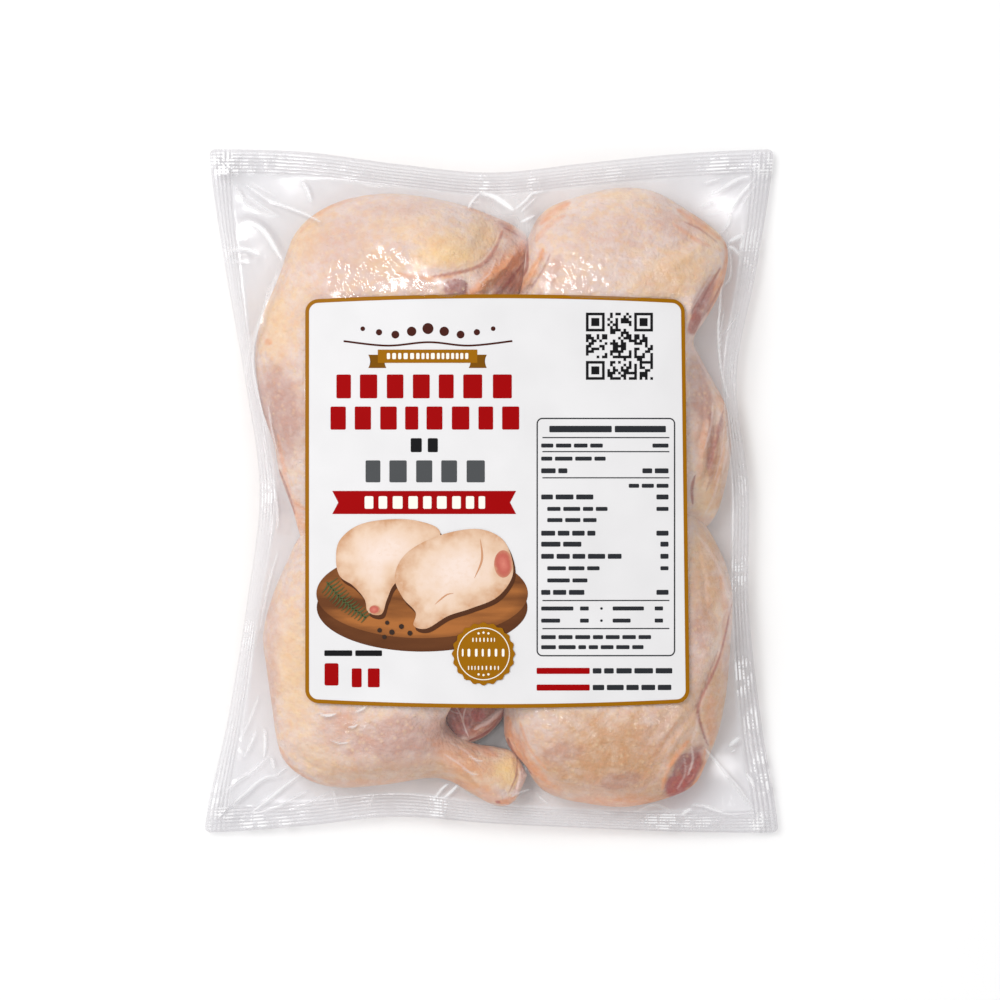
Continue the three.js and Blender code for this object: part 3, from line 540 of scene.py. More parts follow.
def even_path(points, t):
    """Points at the shares t of the length of the smooth curve through the given points."""
    fine = smooth_line(points, np.linspace(0, 1, 2000))
    legs = np.linalg.norm(np.diff(fine, axis=0), axis=1)
    run = np.concatenate([[0], np.cumsum(legs)])
    run /= run[-1]
    return np.stack([np.interp(t, run, fine[:, k]) for k in range(fine.shape[1])], axis=-1)


def soft_noise(x, y, spacing, seed):
    """Random heights from -1 to 1 on a square lattice of the given spacing, joined by smooth steps."""
    heights = np.random.default_rng(seed).uniform(-1, 1, (NOISE_CELLS, NOISE_CELLS))
    gx, gy = x / spacing, y / spacing
    i, j = np.floor(gx).astype(int), np.floor(gy).astype(int)
    fx, fy = smooth_step(0, 1, gx - i), smooth_step(0, 1, gy - j)

    def at(a, b):
        return heights[a % NOISE_CELLS, b % NOISE_CELLS]

    low = at(i, j) * (1 - fx) + at(i + 1, j) * fx
    high = at(i, j + 1) * (1 - fx) + at(i + 1, j + 1) * fx
    return low * (1 - fy) + high * fy


def long_cells(x, y, across, along, seed):
    """Soft noise in cells of the given width and length, bent by slower
    noise and turned a little, so that the rows of its lattice don't show."""
    bent_x = x + 1.5 * soft_noise(x, y, 8, seed) + 0.25 * y
    bent_y = y + 1.5 * soft_noise(y, x, 9, seed + 1) - 0.25 * x
    return soft_noise(bent_x / across, bent_y / along, 1, seed + 2)


def layered(noise, x, y, layers):
    """The sum of some layers of one kind of noise, each with its height and the noise's own numbers."""
    return sum(height * noise(x, y, *numbers) for height, *numbers in layers)


def line_place(x, y, points):
    """Distance from each point to a broken line, the share of the line's
    legs passed there, and the side of it: above 0 on the left of its run."""
    best = np.full(x.shape, 1e9)
    share = np.zeros(x.shape)
    side = np.zeros(x.shape)
    for k, ((ax, ay), (bx, by)) in enumerate(zip(points[:-1], points[1:])):
        dx, dy = bx - ax, by - ay
        t = np.clip(((x - ax) * dx + (y - ay) * dy) / (dx * dx + dy * dy), 0, 1)
        distance = np.hypot(x - ax - t * dx, y - ay - t * dy)
        nearer = distance < best
        best = np.where(nearer, distance, best)
        share = np.where(nearer, (k + t) / (len(points) - 1), share)
        side = np.where(nearer, np.sign(dx * (y - ay) - dy * (x - ax)), side)
    return best, share, side


def finer(points):
    """The smooth curve through some points, with three more points between each two."""
    return smooth_line(points, np.linspace(0, 1, 4 * len(points) - 3))


def ellipse_reach(x, y, middle_x, middle_y, a, b, turn=0):
    """How far out of an ellipse's middle each point is: 0 in the middle and 1 on its edge."""
    angle = math.radians(turn)
    dx, dy = x - middle_x, y - middle_y
    along = (dx * math.cos(angle) + dy * math.sin(angle)) / a
    across = (dy * math.cos(angle) - dx * math.sin(angle)) / b
    return np.hypot(along, across)


def soft_ellipses(x, y, places, outer, inner, join=np.maximum):
    """Ellipses that are full up to the inner share of their reach and
    fade out to the outer, joined by the strongest or by their sum."""
    joined = np.zeros(x.shape)
    for *ellipse, strength in places:
        joined = join(joined, strength * smooth_step(outer, inner, ellipse_reach(x, y, *ellipse)))
    return joined


def tapered_bell(distance, share, width):
    """A bell curve across a line, exp(-(d/w)^2), that dies away smoothly at both of the line's ends."""
    return np.exp(-((distance / width) ** 2)) * smooth_step(0, 0.25, share) * smooth_step(1, 0.75, share)


def label_crown(x, y):
    """Height of the film under the label: a top height less a parabola across and one along."""
    across = (x - LABEL_X) / (LABEL_WIDTH / 2)
    along = (y - LABEL_Y) / (LABEL_LENGTH / 2)
    return LABEL_TOP_Z - LABEL_FALL_ACROSS * across**2 - LABEL_FALL_ALONG * along**2


def outside_label(x, y):
    """Distance out of the label's rectangle with its round corners, 0 on and in it."""
    dx = np.maximum(np.abs(x - LABEL_X) - LABEL_WIDTH / 2 + LABEL_CORNER, 0)
    dy = np.maximum(np.abs(y - LABEL_Y) - LABEL_LENGTH / 2 + LABEL_CORNER, 0)
    return np.maximum(np.hypot(dx, dy) - LABEL_CORNER, 0)


def label_surface(x, y):
    """Height of the label's printed face: its crown with two slow waves from the film under it."""
    return label_crown(x, y) + LABEL_OVER_FILM + LABEL_WAVE * (layered(soft_noise, x, y, LABEL_WAVES) - 1)


def relief(quarter, x, y):
    """Height added to a quarter's upper side at each plan point: slow and fine lumps, its
    folds, the step where its skin ends and the dish of its cut face, with strands across it."""
    added = layered(soft_noise, x, y, SKIN_LUMPS)
    for line, width, height in quarter["folds"]:
        distance, share, _ = line_place(x, y, line)
        wander = 0.5 * width * soft_noise(x, y, 6, 14)
        added = added + height * tapered_bell(distance + wander, share, width)
    if "step" in quarter:
        line, drop = quarter["step"]
        distance, share, side = line_place(x, y, line)
        past = np.where(side < 0, distance, -distance)
        fades = smooth_step(0, 0.2, share) * smooth_step(1, 0.6, share) * smooth_step(13, 6, distance)
        added = added - drop * smooth_step(-0.6, 1.2, past) * fades
    if "dish" in quarter:
        *ellipse, depth = quarter["dish"]
        strands = 0.35 * np.sin(1.6 * (x * 0.9 + y * 0.45)) + 0.4 * soft_noise(x, y, 3, 15)
        added = added - (depth + strands) * smooth_step(1.08, 0.78, ellipse_reach(x, y, *ellipse))
    return added


def looks_of(quarter, x, y):
    """Share of each look at every point: the strongest of its patches and strokes, with an uneven
    edge. A stroke is thinner towards its ends, by 0.35 + 0.65 sin^0.6 of the way along it."""
    uneven = layered(soft_noise, x, y, UNEVEN_EDGES)
    shares = {look: np.zeros(x.shape) for look in LOOKS}
    for look, patches in quarter["patches"].items():
        edge = SHARP_PATCH if look in SHARP_PATCHES else SOFT_PATCH
        for *ellipse, strength in patches:
            reach = ellipse_reach(x, y, *ellipse) + uneven
            worn = strength * smooth_step(1.0 + edge / 3, 1.0 - edge, reach)
            shares[look] = np.maximum(shares[look], worn)
    for look, strokes in quarter["strokes"].items():
        outer, inner, rough = SHARP_STROKE if look in SHARP_STROKES else SOFT_STROKE
        for width, strength, points in strokes:
            distance, share, _ = line_place(x, y, finer(points))
            thin = 0.35 + 0.65 * np.sin(np.pi * share) ** 0.6
            worn = strength * smooth_step(outer, inner, distance / (width * thin) + rough * uneven)
            shares[look] = np.maximum(shares[look], worn)
    return shares


def quarter_shape(name):
    """A quarter as sections between its two rails. With c = cos(angle), a section's
    plan runs straight from the outer rail at c = 1 to the inner at c = -1; its top
    rises over the belly line by the quarter's height times (1 - |c|^2.2)^0.55 and its
    underside falls flatter, by (1 - |c|^5)^0.5. Both ends round off to one point."""
    quarter = QUARTERS[name]
    share = (1 - np.cos(np.pi * np.arange(1, MEAT_SECTIONS) / MEAT_SECTIONS)) / 2
    outer, inner = even_path(quarter["outer"], share), even_path(quarter["inner"], share)
    angle = np.concatenate([
        np.linspace(0, np.pi, MEAT_TOP_STEPS, endpoint=False),
        np.linspace(np.pi, 2 * np.pi, MEAT_UNDER_STEPS, endpoint=False),
    ])
    c = np.cos(angle)[None, :]
    x = (outer[:, :1] + inner[:, :1]) / 2 + c * (outer[:, :1] - inner[:, :1]) / 2
    y = (outer[:, 1:] + inner[:, 1:]) / 2 + c * (outer[:, 1:] - inner[:, 1:]) / 2
    end = np.sqrt(1 - (1 - smooth_step(0, 0.34, np.minimum(share, 1 - share))) ** 2)[:, None]
    height = smooth_line(quarter["heights"], share)[:, None]
    top = end * (1 - np.abs(c) ** 2.2) ** 0.55
    under = np.sqrt(np.minimum(1, 2.2 * end)) * (1 - np.abs(c) ** 5) ** 0.5
    belly = BELLY_Z * (0.55 + 0.45 * np.minimum(1, height / 34))
    rise = (height - belly) * top + relief(quarter, x, y) * smooth_step(0, 0.45, top)
    rest = UNDERSIDE_Z + UNDERSIDE_LUMPS * (1 + soft_noise(x, y, 13, 16))
    z = np.where(angle[None, :] < np.pi, belly + rise, belly - (belly - rest) * np.minimum(1, under))
    ends = [[*quarter["outer"][0], belly[0, 0]], [*quarter["outer"][-1], belly[-1, 0]]]
    return np.stack([x, y, z], axis=-1), np.array(ends, float)


def press_under_label(points):
    """Lowers what would reach the label's crown: the smaller of the height and a cap
    that rises away from the label, with the corner between the two rounded off."""
    x, y, z = points[..., 0], points[..., 1], points[..., 2]
    cap = label_crown(x, y) - MEAT_UNDER_LABEL + 0.9 * outside_label(x, y)
    points[..., 2] = z - PRESS_BLEND * np.logaddexp(0, (z - cap) / PRESS_BLEND)


def height_map(z):
    """A map of the bag's plan with one height in all of its cells."""
    columns, rows = (len(np.arange(BAG_LOW[k], BAG_HIGH[k] + MAP_CELL, MAP_CELL)) for k in (0, 1))
    return np.full((rows, columns), z)


def cells_of(height, x, y):
    """Row and column of the map's cell that each plan point falls in."""
    i = np.clip(np.rint((x - BAG_LOW[0]) / MAP_CELL).astype(int), 0, height.shape[1] - 1)
    j = np.clip(np.rint((y - BAG_LOW[1]) / MAP_CELL).astype(int), 0, height.shape[0] - 1)
    return j, i


def spread(height, pick):
    """Each cell takes the highest or lowest of itself and its eight neighbours."""
    padded = np.pad(height, 1, mode="edge")
    rows, columns = height.shape
    return pick.reduce([padded[a:a + rows, b:b + columns] for a in range(3) for b in range(3)])


def blur(height, rounds):
    """Each cell moves to the mean of itself and its four neighbours, a number of times."""
    for _ in range(rounds):
        padded = np.pad(height, 1, mode="edge")
        height = (height + padded[2:, 1:-1] + padded[:-2, 1:-1] + padded[1:-1, 2:] + padded[1:-1, :-2]) / 5
    return height


def sample(height, x, y):
    """Value of a height map at any plan points, straight between its cells."""
    gx = np.clip((x - BAG_LOW[0]) / MAP_CELL, 0, height.shape[1] - 1.001)
    gy = np.clip((y - BAG_LOW[1]) / MAP_CELL, 0, height.shape[0] - 1.001)
    i, j = gx.astype(int), gy.astype(int)
    fx, fy = gx - i, gy - j
    low = height[j, i] * (1 - fx) + height[j, i + 1] * fx
    high = height[j + 1, i] * (1 - fx) + height[j + 1, i + 1] * fx
    return low * (1 - fy) + high * fy


def plan_point(u, v):
    """Plan of the bag at u across and v along, from 0 to 1:
    each way straight between two of its curved edges."""
    half_width, half_length = BAG_WIDTH / 2 - TOP_NARROWING * v, BAG_LENGTH / 2
    left = smooth_line(DRAW_IN["left"], v) - half_width
    right = half_width - smooth_line(DRAW_IN["right"], v)
    bottom = smooth_line(DRAW_IN["bottom"], u) - half_length
    top = half_length - smooth_line(DRAW_IN["top"], u)
    return (1 - u) * left + u * right, (1 - v) * bottom + v * top


def rim_height(u, v):
    """Height of the middle of the sealed rim: low at the
    corners, higher at mid-edge, with a slight wave."""
    lift = np.sin(np.pi * u) + np.sin(np.pi * v)
    return RIM_CORNER_Z + RIM_LIFT * lift + RIM_WAVE * np.sin(RIM_WAVES * np.pi * (u + v))


def film_grid(columns, rows, seal_lines):
    """Plan, seal and rim of a grid over the bag whose first and last lines
    each way cross the seal. The corners are rounded: a square at each is drawn
    in to a quarter disc, each point to the radius of its larger side."""
    i, j = np.meshgrid(np.arange(columns + 1), np.arange(rows + 1))
    across, along = i / columns, j / rows
    widths = np.stack([smooth_line(SEAL_SEEN[edge], along if edge in ("left", "right") else across)
                       for edge in ("left", "right", "bottom", "top")])

    def step(k, count, first, last):
        inner = (k - seal_lines) / (count - 2 * seal_lines)
        share = np.where(k < seal_lines, first * k / seal_lines, first + (1 - first - last) * inner)
        return np.where(k > count - seal_lines, 1 - last * (count - k) / seal_lines, share)

    u = step(i, columns, *widths[:2] / BAG_WIDTH)
    v = step(j, rows, *widths[2:] / BAG_LENGTH)
    x, y = plan_point(u, v)
    out_x = np.maximum(0, CORNER_ROUND - np.minimum(u, 1 - u) * BAG_WIDTH) / CORNER_ROUND
    out_y = np.maximum(0, CORNER_ROUND - np.minimum(v, 1 - v) * BAG_LENGTH) / CORNER_ROUND
    pulled = CORNER_ROUND * (1 - np.maximum(out_x, out_y) / np.maximum(np.hypot(out_x, out_y), 1e-9))
    x, y = x + np.sign(0.5 - u) * out_x * pulled, y + np.sign(0.5 - v) * out_y * pulled
    steps = np.stack([i, columns - i, j, rows - j]) / seal_lines
    nearest = np.argmin(steps, axis=0)[None]
    inset = np.take_along_axis(steps, nearest, 0)[0]
    seal_seen = np.take_along_axis(widths, nearest, 0)[0]
    rise = np.minimum(1, inset) * np.sqrt(np.maximum(0, SEAL_WIDTH**2 - seal_seen**2))
    from_edges = np.stack([u * BAG_WIDTH, (1 - u) * BAG_WIDTH, v * BAG_LENGTH, (1 - v) * BAG_LENGTH])
    return {"x": x, "y": y, "u": u, "v": v, "steps": steps, "inset": inset, "rim": rim_height(u, v) + rise,
            "past": (from_edges - widths).min(axis=0)}


def relax(z, held, bound, pick, rounds):
    """Each free point goes to the mean of its four neighbours, but not past its bound."""
    for _ in range(rounds):
        mean = (z[:-2, 1:-1] + z[2:, 1:-1] + z[1:-1, :-2] + z[1:-1, 2:]) / 4
        inner = pick(mean, bound[1:-1, 1:-1])
        z[1:-1, 1:-1] = np.where(held[1:-1, 1:-1], z[1:-1, 1:-1], inner)
    return z


def doubled(z, shape):
    """A grid with a new line between each two of its own."""
    fine = np.empty(shape)
    fine[::2, ::2] = z
    fine[1::2, ::2] = (z[:-1] + z[1:]) / 2
    fine[:, 1::2] = (fine[:, :-2:2] + fine[:, 2::2]) / 2
    return fine


def stretched(start, held, bound, pick):
    """A stretched skin over or under what bounds it, relaxed on grids of 8, 4, 2 and 1 lines in turn."""
    z = None
    for stride, rounds in RELAX_ROUNDS:
        coarse = start[::stride, ::stride]
        kept = held[::stride, ::stride]
        z = coarse.copy() if z is None else np.where(kept, coarse, doubled(z, coarse.shape))
        z = relax(z, kept, bound[::stride, ::stride], pick, rounds)
    return z


def seal_ribs(grid):
    """Fine ribs along each edge within the seal, crossing in the corners: a
    cosine of the steps in from the edge. Gives their height, the whiteness of
    their crests, partly milky film and partly painted highlight, with painted
    glints as bright dashes in the sparkles, and painted shade: a grey for each
    side, more in the troughs, and a dark outer edge that is partly the film's
    edge and partly painted shade."""
    x, y = grid["x"], grid["y"]
    rise, milk, shade = (np.zeros(x.shape) for _ in range(3))
    bright = soft_ellipses(x, y, SPARKLES, 1.25, 0.4)
    for side in range(4):
        step = grid["steps"][side]
        inside = smooth_step(1.03, 0.97, step) * smooth_step(0, 0.06, step)
        along = y if side < 2 else x
        wave = np.cos(2 * np.pi * (SIDE_RIBS if side < 2 else END_RIBS) * step)
        uneven = 0.8 + layered(soft_noise, along, step * 9, ((0.5, 9, 31 + side), (0.4, 2.6, 35 + side)))
        crest = inside * smooth_step(0.1, 0.9, wave)
        cross = 0.5 * np.cos(2 * np.pi * along / CROSS_PITCH)
        dashes = smooth_step(-0.35, 0.25, cross + 1.6 * soft_noise(along, step * 11, 2.6, 39 + side))
        rise += RIB_HEIGHT * uneven * inside * wave
        # Painted glints: white dashes on the rib crests in the sparkle patches.
        lit = smooth_step(-0.5, 0.7, wave) * inside * bright * dashes
        milk = np.maximum(milk, np.maximum(0.32 * crest * uneven, 2.3 * lit))
        # Painted shade: each side's grey, darkest on the right, and more in the troughs.
        shade = np.maximum(shade, inside * (SEAL_SHADE[side] + 0.34 * smooth_step(0.2, -0.8, wave)))
    # The outer edge darker: partly the film's cut edge and partly painted shade.
    outer = smooth_step(0.06, 0.0, grid["inset"])
    return rise, milk, np.maximum(shade, 0.8 * outer)


def film_marks(x, y):
    """What the creases give each film point. A crest rises as exp(-d/w) along each line, thinner towards
    its ends. The film is whiter on the crest, partly milky film and partly a painted highlight, and has
    painted shade on the side away from the key light."""
    rise, milk, shade = (np.zeros(x.shape) for _ in range(3))
    for points, width, height, white in CREASES:
        line = finer(points)
        low, high = line.min(axis=0) - 6 * width, line.max(axis=0) + 6 * width
        near = (x > low[0]) & (x < high[0]) & (y > low[1]) & (y < high[1])
        distance, share, side = line_place(x[near], y[near], line)
        taper = np.sin(np.pi * (0.06 + 0.88 * share)) ** 0.7
        span = line[-1] - line[0]
        lit_side = np.sign(-span[1] * KEY_SIDE[0] + span[0] * KEY_SIDE[1])
        away = -distance * side * lit_side
        # The crest's whiteness: partly milky film and partly a painted highlight.
        crest = white * taper**0.5 * smooth_step(1.15, 0.3, distance / (0.75 * width * taper + 0.15))
        # Painted shade on the side away from the key light.
        lee = 0.6 * taper * np.exp(-(((away - 1.5 * width) / width) ** 2))
        rise[near] += height * taper * np.exp(-distance / width)
        milk[near] = np.maximum(milk[near], crest)
        shade[near] = np.maximum(shade[near], lee * np.minimum(1, 1.2 * white))
    return rise, milk, shade


def gathers(grid):
    """Small folds that run in from the seal: a wave along the edge that
    is strongest just inside the seal and dies away towards the meat."""
    near_seal = smooth_step(-4, 2, grid["past"]) * smooth_step(16, 4, grid["past"])
    ends = np.abs(grid["v"] - 0.5) > np.abs(grid["u"] - 0.5)
    along = np.where(ends, grid["x"], grid["y"])
    fine = soft_noise(along, grid["past"] * 0.25, 3.4, 43)
    return near_seal * (0.5 * soft_noise(along, 0 * along, 7.5, 42) + 0.35 * fine)


@functools.lru_cache(maxsize=1)
def pack_shapes():
    """The whole filled bag: the meat, both films over it, and the meat pressed under the films."""
    meats = {}
    highest, lowest = height_map(0.0), height_map(NO_MEAT_Z)
    for name in QUARTERS:
        meats[name] = quarter_shape(name)
        points = meats[name][0]
        press_under_label(points)
        cells = cells_of(highest, points[..., 0], points[..., 1])
        np.maximum.at(highest, cells, points[..., 2])
        np.minimum.at(lowest, cells, points[..., 2])
    highest = blur(spread(highest, np.maximum), 3)
    lowest = spread(lowest, np.minimum)

    upper = film_grid(FILM_COLUMNS, FILM_ROWS, SEAL_LINES)
    x, y = upper["x"], upper["y"]
    sealed = upper["inset"] <= 1
    under_label = ~sealed & (outside_label(x, y) <= 0.5)
    bound = (sample(highest, x, y) + FILM_OVER_MEAT) * smooth_step(-1, 5, upper["past"])
    start = np.where(under_label, label_crown(x, y), upper["rim"] + SEAL_THICKNESS / 2)
    smooth = stretched(start, sealed | under_label, bound, np.maximum)
    loose = np.where(sealed, 0.5, 0.3 + 0.7 * smooth_step(0.2, 2.5, smooth - bound)) * ~under_label
    crease_rise, crease_milk_and_highlight, crease_shade = film_marks(x, y)
    rib_rise, rib_milk_and_highlight, rib_shade = seal_ribs(upper)
    clinging = np.maximum(CRINKLE_LEAST, soft_ellipses(x, y, CLINGS, 1.15, 0.35))
    upper["crinkle"] = clinging * ~sealed * ~under_label
    upper["z"] = smooth + loose * (crease_rise + gathers(upper)) + rib_rise
    upper["z"] += CRINKLE_HEIGHT * upper["crinkle"] * layered(long_cells, x, y, CRINKLES)
    upper["z"] += layered(long_cells, x, y, RIPPLES) * ~sealed * ~under_label
    # Milky white marks: crests that are partly milky film and partly painted highlight, painted glints on
    # the seal, and patches of painted light.
    upper["milk"] = np.maximum(crease_milk_and_highlight, rib_milk_and_highlight) + soft_ellipses(x, y, FILM_PAINTED_LIGHT, 1.2, 0.2, np.add)
    # Painted shade: the creases' lee sides and the seal.
    upper["shade"] = np.maximum(crease_shade, rib_shade)

    back = film_grid(BACK_COLUMNS, BACK_ROWS, BACK_SEAL_LINES)
    back_sealed = back["inset"] <= 1
    ceiling = np.maximum(BACK_LOWEST, sample(lowest, back["x"], back["y"]) - BACK_UNDER_MEAT)
    back_start = np.where(back_sealed, back["rim"] - SEAL_THICKNESS / 2, BACK_START)
    back["z"] = np.maximum(BACK_LOWEST, stretched(back_start, back_sealed, ceiling, np.minimum))
    back["crinkle"], back["milk"] = np.zeros(back["x"].shape), np.zeros(back["x"].shape)
    # Painted shade on the back film in the gaps between the quarters.
    back["shade"] = soft_ellipses(back["x"], back["y"], DEEP_GAPS, 1.3, 0.6)

    film_map = film_height_map(upper)
    for points, _ in meats.values():
        limit = sample(film_map, points[..., 0], points[..., 1]) - MEAT_UNDER_FILM
        points[..., 2] = np.maximum(np.minimum(points[..., 2], limit), MEAT_LOWEST)
    return meats, upper, back


def film_height_map(film):
    """The upper film's height on the map's cells: the lowest
    of its points that fall in each, spread over gaps."""
    height = height_map(NO_FILM_Z)
    np.minimum.at(height, cells_of(height, film["x"], film["y"]), film["z"])
    return np.where(height == NO_FILM_Z, spread(height, np.minimum), height)


def outward(vertices, faces):
    """The faces, turned over if the closed shape's volume comes out below 0."""
    a, b, c = (vertices[faces[:, k]] for k in range(3))
    volume = np.einsum("ij,ij->", a, np.cross(b, c))
    if faces.shape[1] == 4:
        d = vertices[faces[:, 3]]
        volume += np.einsum("ij,ij->", a, np.cross(c, d))
    return faces if volume > 0 else faces[:, ::-1]


def mesh_object(name, vertices, face_sets, smooth=True):
    """A new mesh object from points in millimetres and arrays of faces of 3 or 4 corners each."""
    mesh = bpy.data.meshes.new(name)
    faces = [face for face_set in face_sets for face in np.asarray(face_set).tolist()]
    mesh.from_pydata((np.asarray(vertices) * MM).tolist(), [], faces)
    mesh.polygons.foreach_set("use_smooth", np.full(len(mesh.polygons), smooth))
    mesh.update()
    made = bpy.data.objects.new(name, mesh)
    bpy.context.collection.objects.link(made)
    return made


def point_values(piece, name, values):
    """Stores one number for each point of a piece's mesh, for its material to read."""
    attribute = piece.data.attributes.new(name, "FLOAT", "POINT")
    attribute.data.foreach_set("value", np.asarray(values, np.float32).ravel())


def grid_faces(rows, columns, wrap=False, first=0):
    """Quads of a grid that is numbered row by row, closed from its last column to its first if it wraps."""
    j, i = np.meshgrid(np.arange(rows - 1), np.arange(columns if wrap else columns - 1), indexing="ij")
    here, right = j * columns + i, j * columns + (i + 1) % columns
    return np.stack([here, right, right + columns, here + columns], -1).reshape(-1, 4) + first


def closed_body(name, sections, ends):
    """A closed body from rings of points and one point at
    each end, with a fan of triangles round each end."""
    rings, around = sections.shape[:2]
    vertices = np.concatenate([sections.reshape(-1, 3), ends])
    quads = grid_faces(rings, around, wrap=True)
    ring = np.arange(around)
    start = np.stack([np.roll(ring, -1), ring, np.full(around, rings * around)], -1)
    last = (rings - 1) * around + ring
    end = np.stack([last, np.roll(last, -1), np.full(around, rings * around + 1)], -1)
    turned = outward(vertices, quads)
    if turned[0, 0] != quads[0, 0]:
        start, end = start[:, ::-1], end[:, ::-1]
    return mesh_object(name, vertices, [turned, start, end]), vertices


def settle(piece, slot, *nodes):
    """Makes a piece ride on the bag and hides the frame's nodes it stands for. The slot, the finish's name,
    is not used.
    """
    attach(piece, BODY)
    if nodes:
        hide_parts(*nodes)


class Nodes:
    """A material's node tree, with short calls to add and join nodes."""

    def __init__(self, name):
        self.material = bpy.data.materials.new(name)
        self.material.use_nodes = True
        self.tree = self.material.node_tree
        self.tree.nodes.clear()
        self.out = self.add("ShaderNodeOutputMaterial")

    def add(self, kind, inputs=None, **settings):
        """A new node with its settings, and its inputs fed."""
        node = self.tree.nodes.new(kind)
        for key, value in settings.items():
            setattr(node, key, value)
        for key, value in (inputs or {}).items():
            self.feed(node.inputs[key], value)
        return node

    def feed(self, socket, value):
        """Joins a socket to another one or to a node's first output, or sets its value."""
        if isinstance(value, bpy.types.NodeSocket):
            self.tree.links.new(value, socket)
        elif isinstance(value, bpy.types.Node):
            self.tree.links.new(value.outputs[0], socket)
        elif isinstance(value, (tuple, list)) and len(value) == 3 and len(socket.default_value) == 4:
            socket.default_value = (*value, 1.0)
        else:
            socket.default_value = value

    def value(self, name):
        """One of the numbers that the piece stores for each point."""
        return self.add("ShaderNodeAttribute", attribute_name=name).outputs["Fac"]

    def place(self, scale=(1, 1, 1), turn=0.0):
        """Object coordinates, turned about z and scaled."""
        where = self.add("ShaderNodeTexCoord").outputs["Object"]
        inputs = {"Vector": where, "Scale": scale, "Rotation": (0, 0, turn)}
        return self.add("ShaderNodeMapping", inputs).outputs[0]

    def noise(self, scale, detail=2.0, vector=None):
        """Blender's noise, from 0 to 1."""
        inputs = {"Vector": vector or self.place(), "Scale": scale, "Detail": detail}
        return self.add("ShaderNodeTexNoise", inputs).outputs["Fac"]

    def math(self, operation, a, b=0.0, clamp=False):
        """One sum with two numbers."""
        return self.add("ShaderNodeMath", {0: a, 1: b}, operation=operation, use_clamp=clamp).outputs[0]

    def span(self, value, low, high, to_low=0.0, to_high=1.0):
        """A value's run from low to high laid on another run, and held at its ends."""
        inputs = {"Value": value, "From Min": low, "From Max": high, "To Min": to_low, "To Max": to_high}
        return self.add("ShaderNodeMapRange", inputs).outputs[0]

    def mix(self, share, a, b):
        """A colour that goes from a to b as the share goes from 0 to 1."""
        return self.add("ShaderNodeMix", {0: share, 6: a, 7: b}, data_type="RGBA").outputs[2]

    def bump(self, height, distance, strength=1.0, normal=None):
        """The normal of a surface that a height raises, over another normal where one is given."""
        inputs = {"Height": height, "Distance": distance, "Strength": strength}
        if normal is not None:
            inputs["Normal"] = normal
        return self.add("ShaderNodeBump", inputs).outputs[0]

    def finish(self, shader):
        """Joins the shader to the material's surface."""
        self.feed(self.out.inputs["Surface"], shader)
        return self.material

    def printed(self, tone, roughness=0.55):
        """Finishes paper or a print: a matt surface of the tone with a fine tooth."""
        return self.finish(self.add("ShaderNodeBsdfPrincipled", {
            "Base Color": tone, "Roughness": roughness, "Specular IOR Level": 0.03,
            "Normal": self.bump(self.noise(1500, 2), 0.00005, 0.4),
        }))


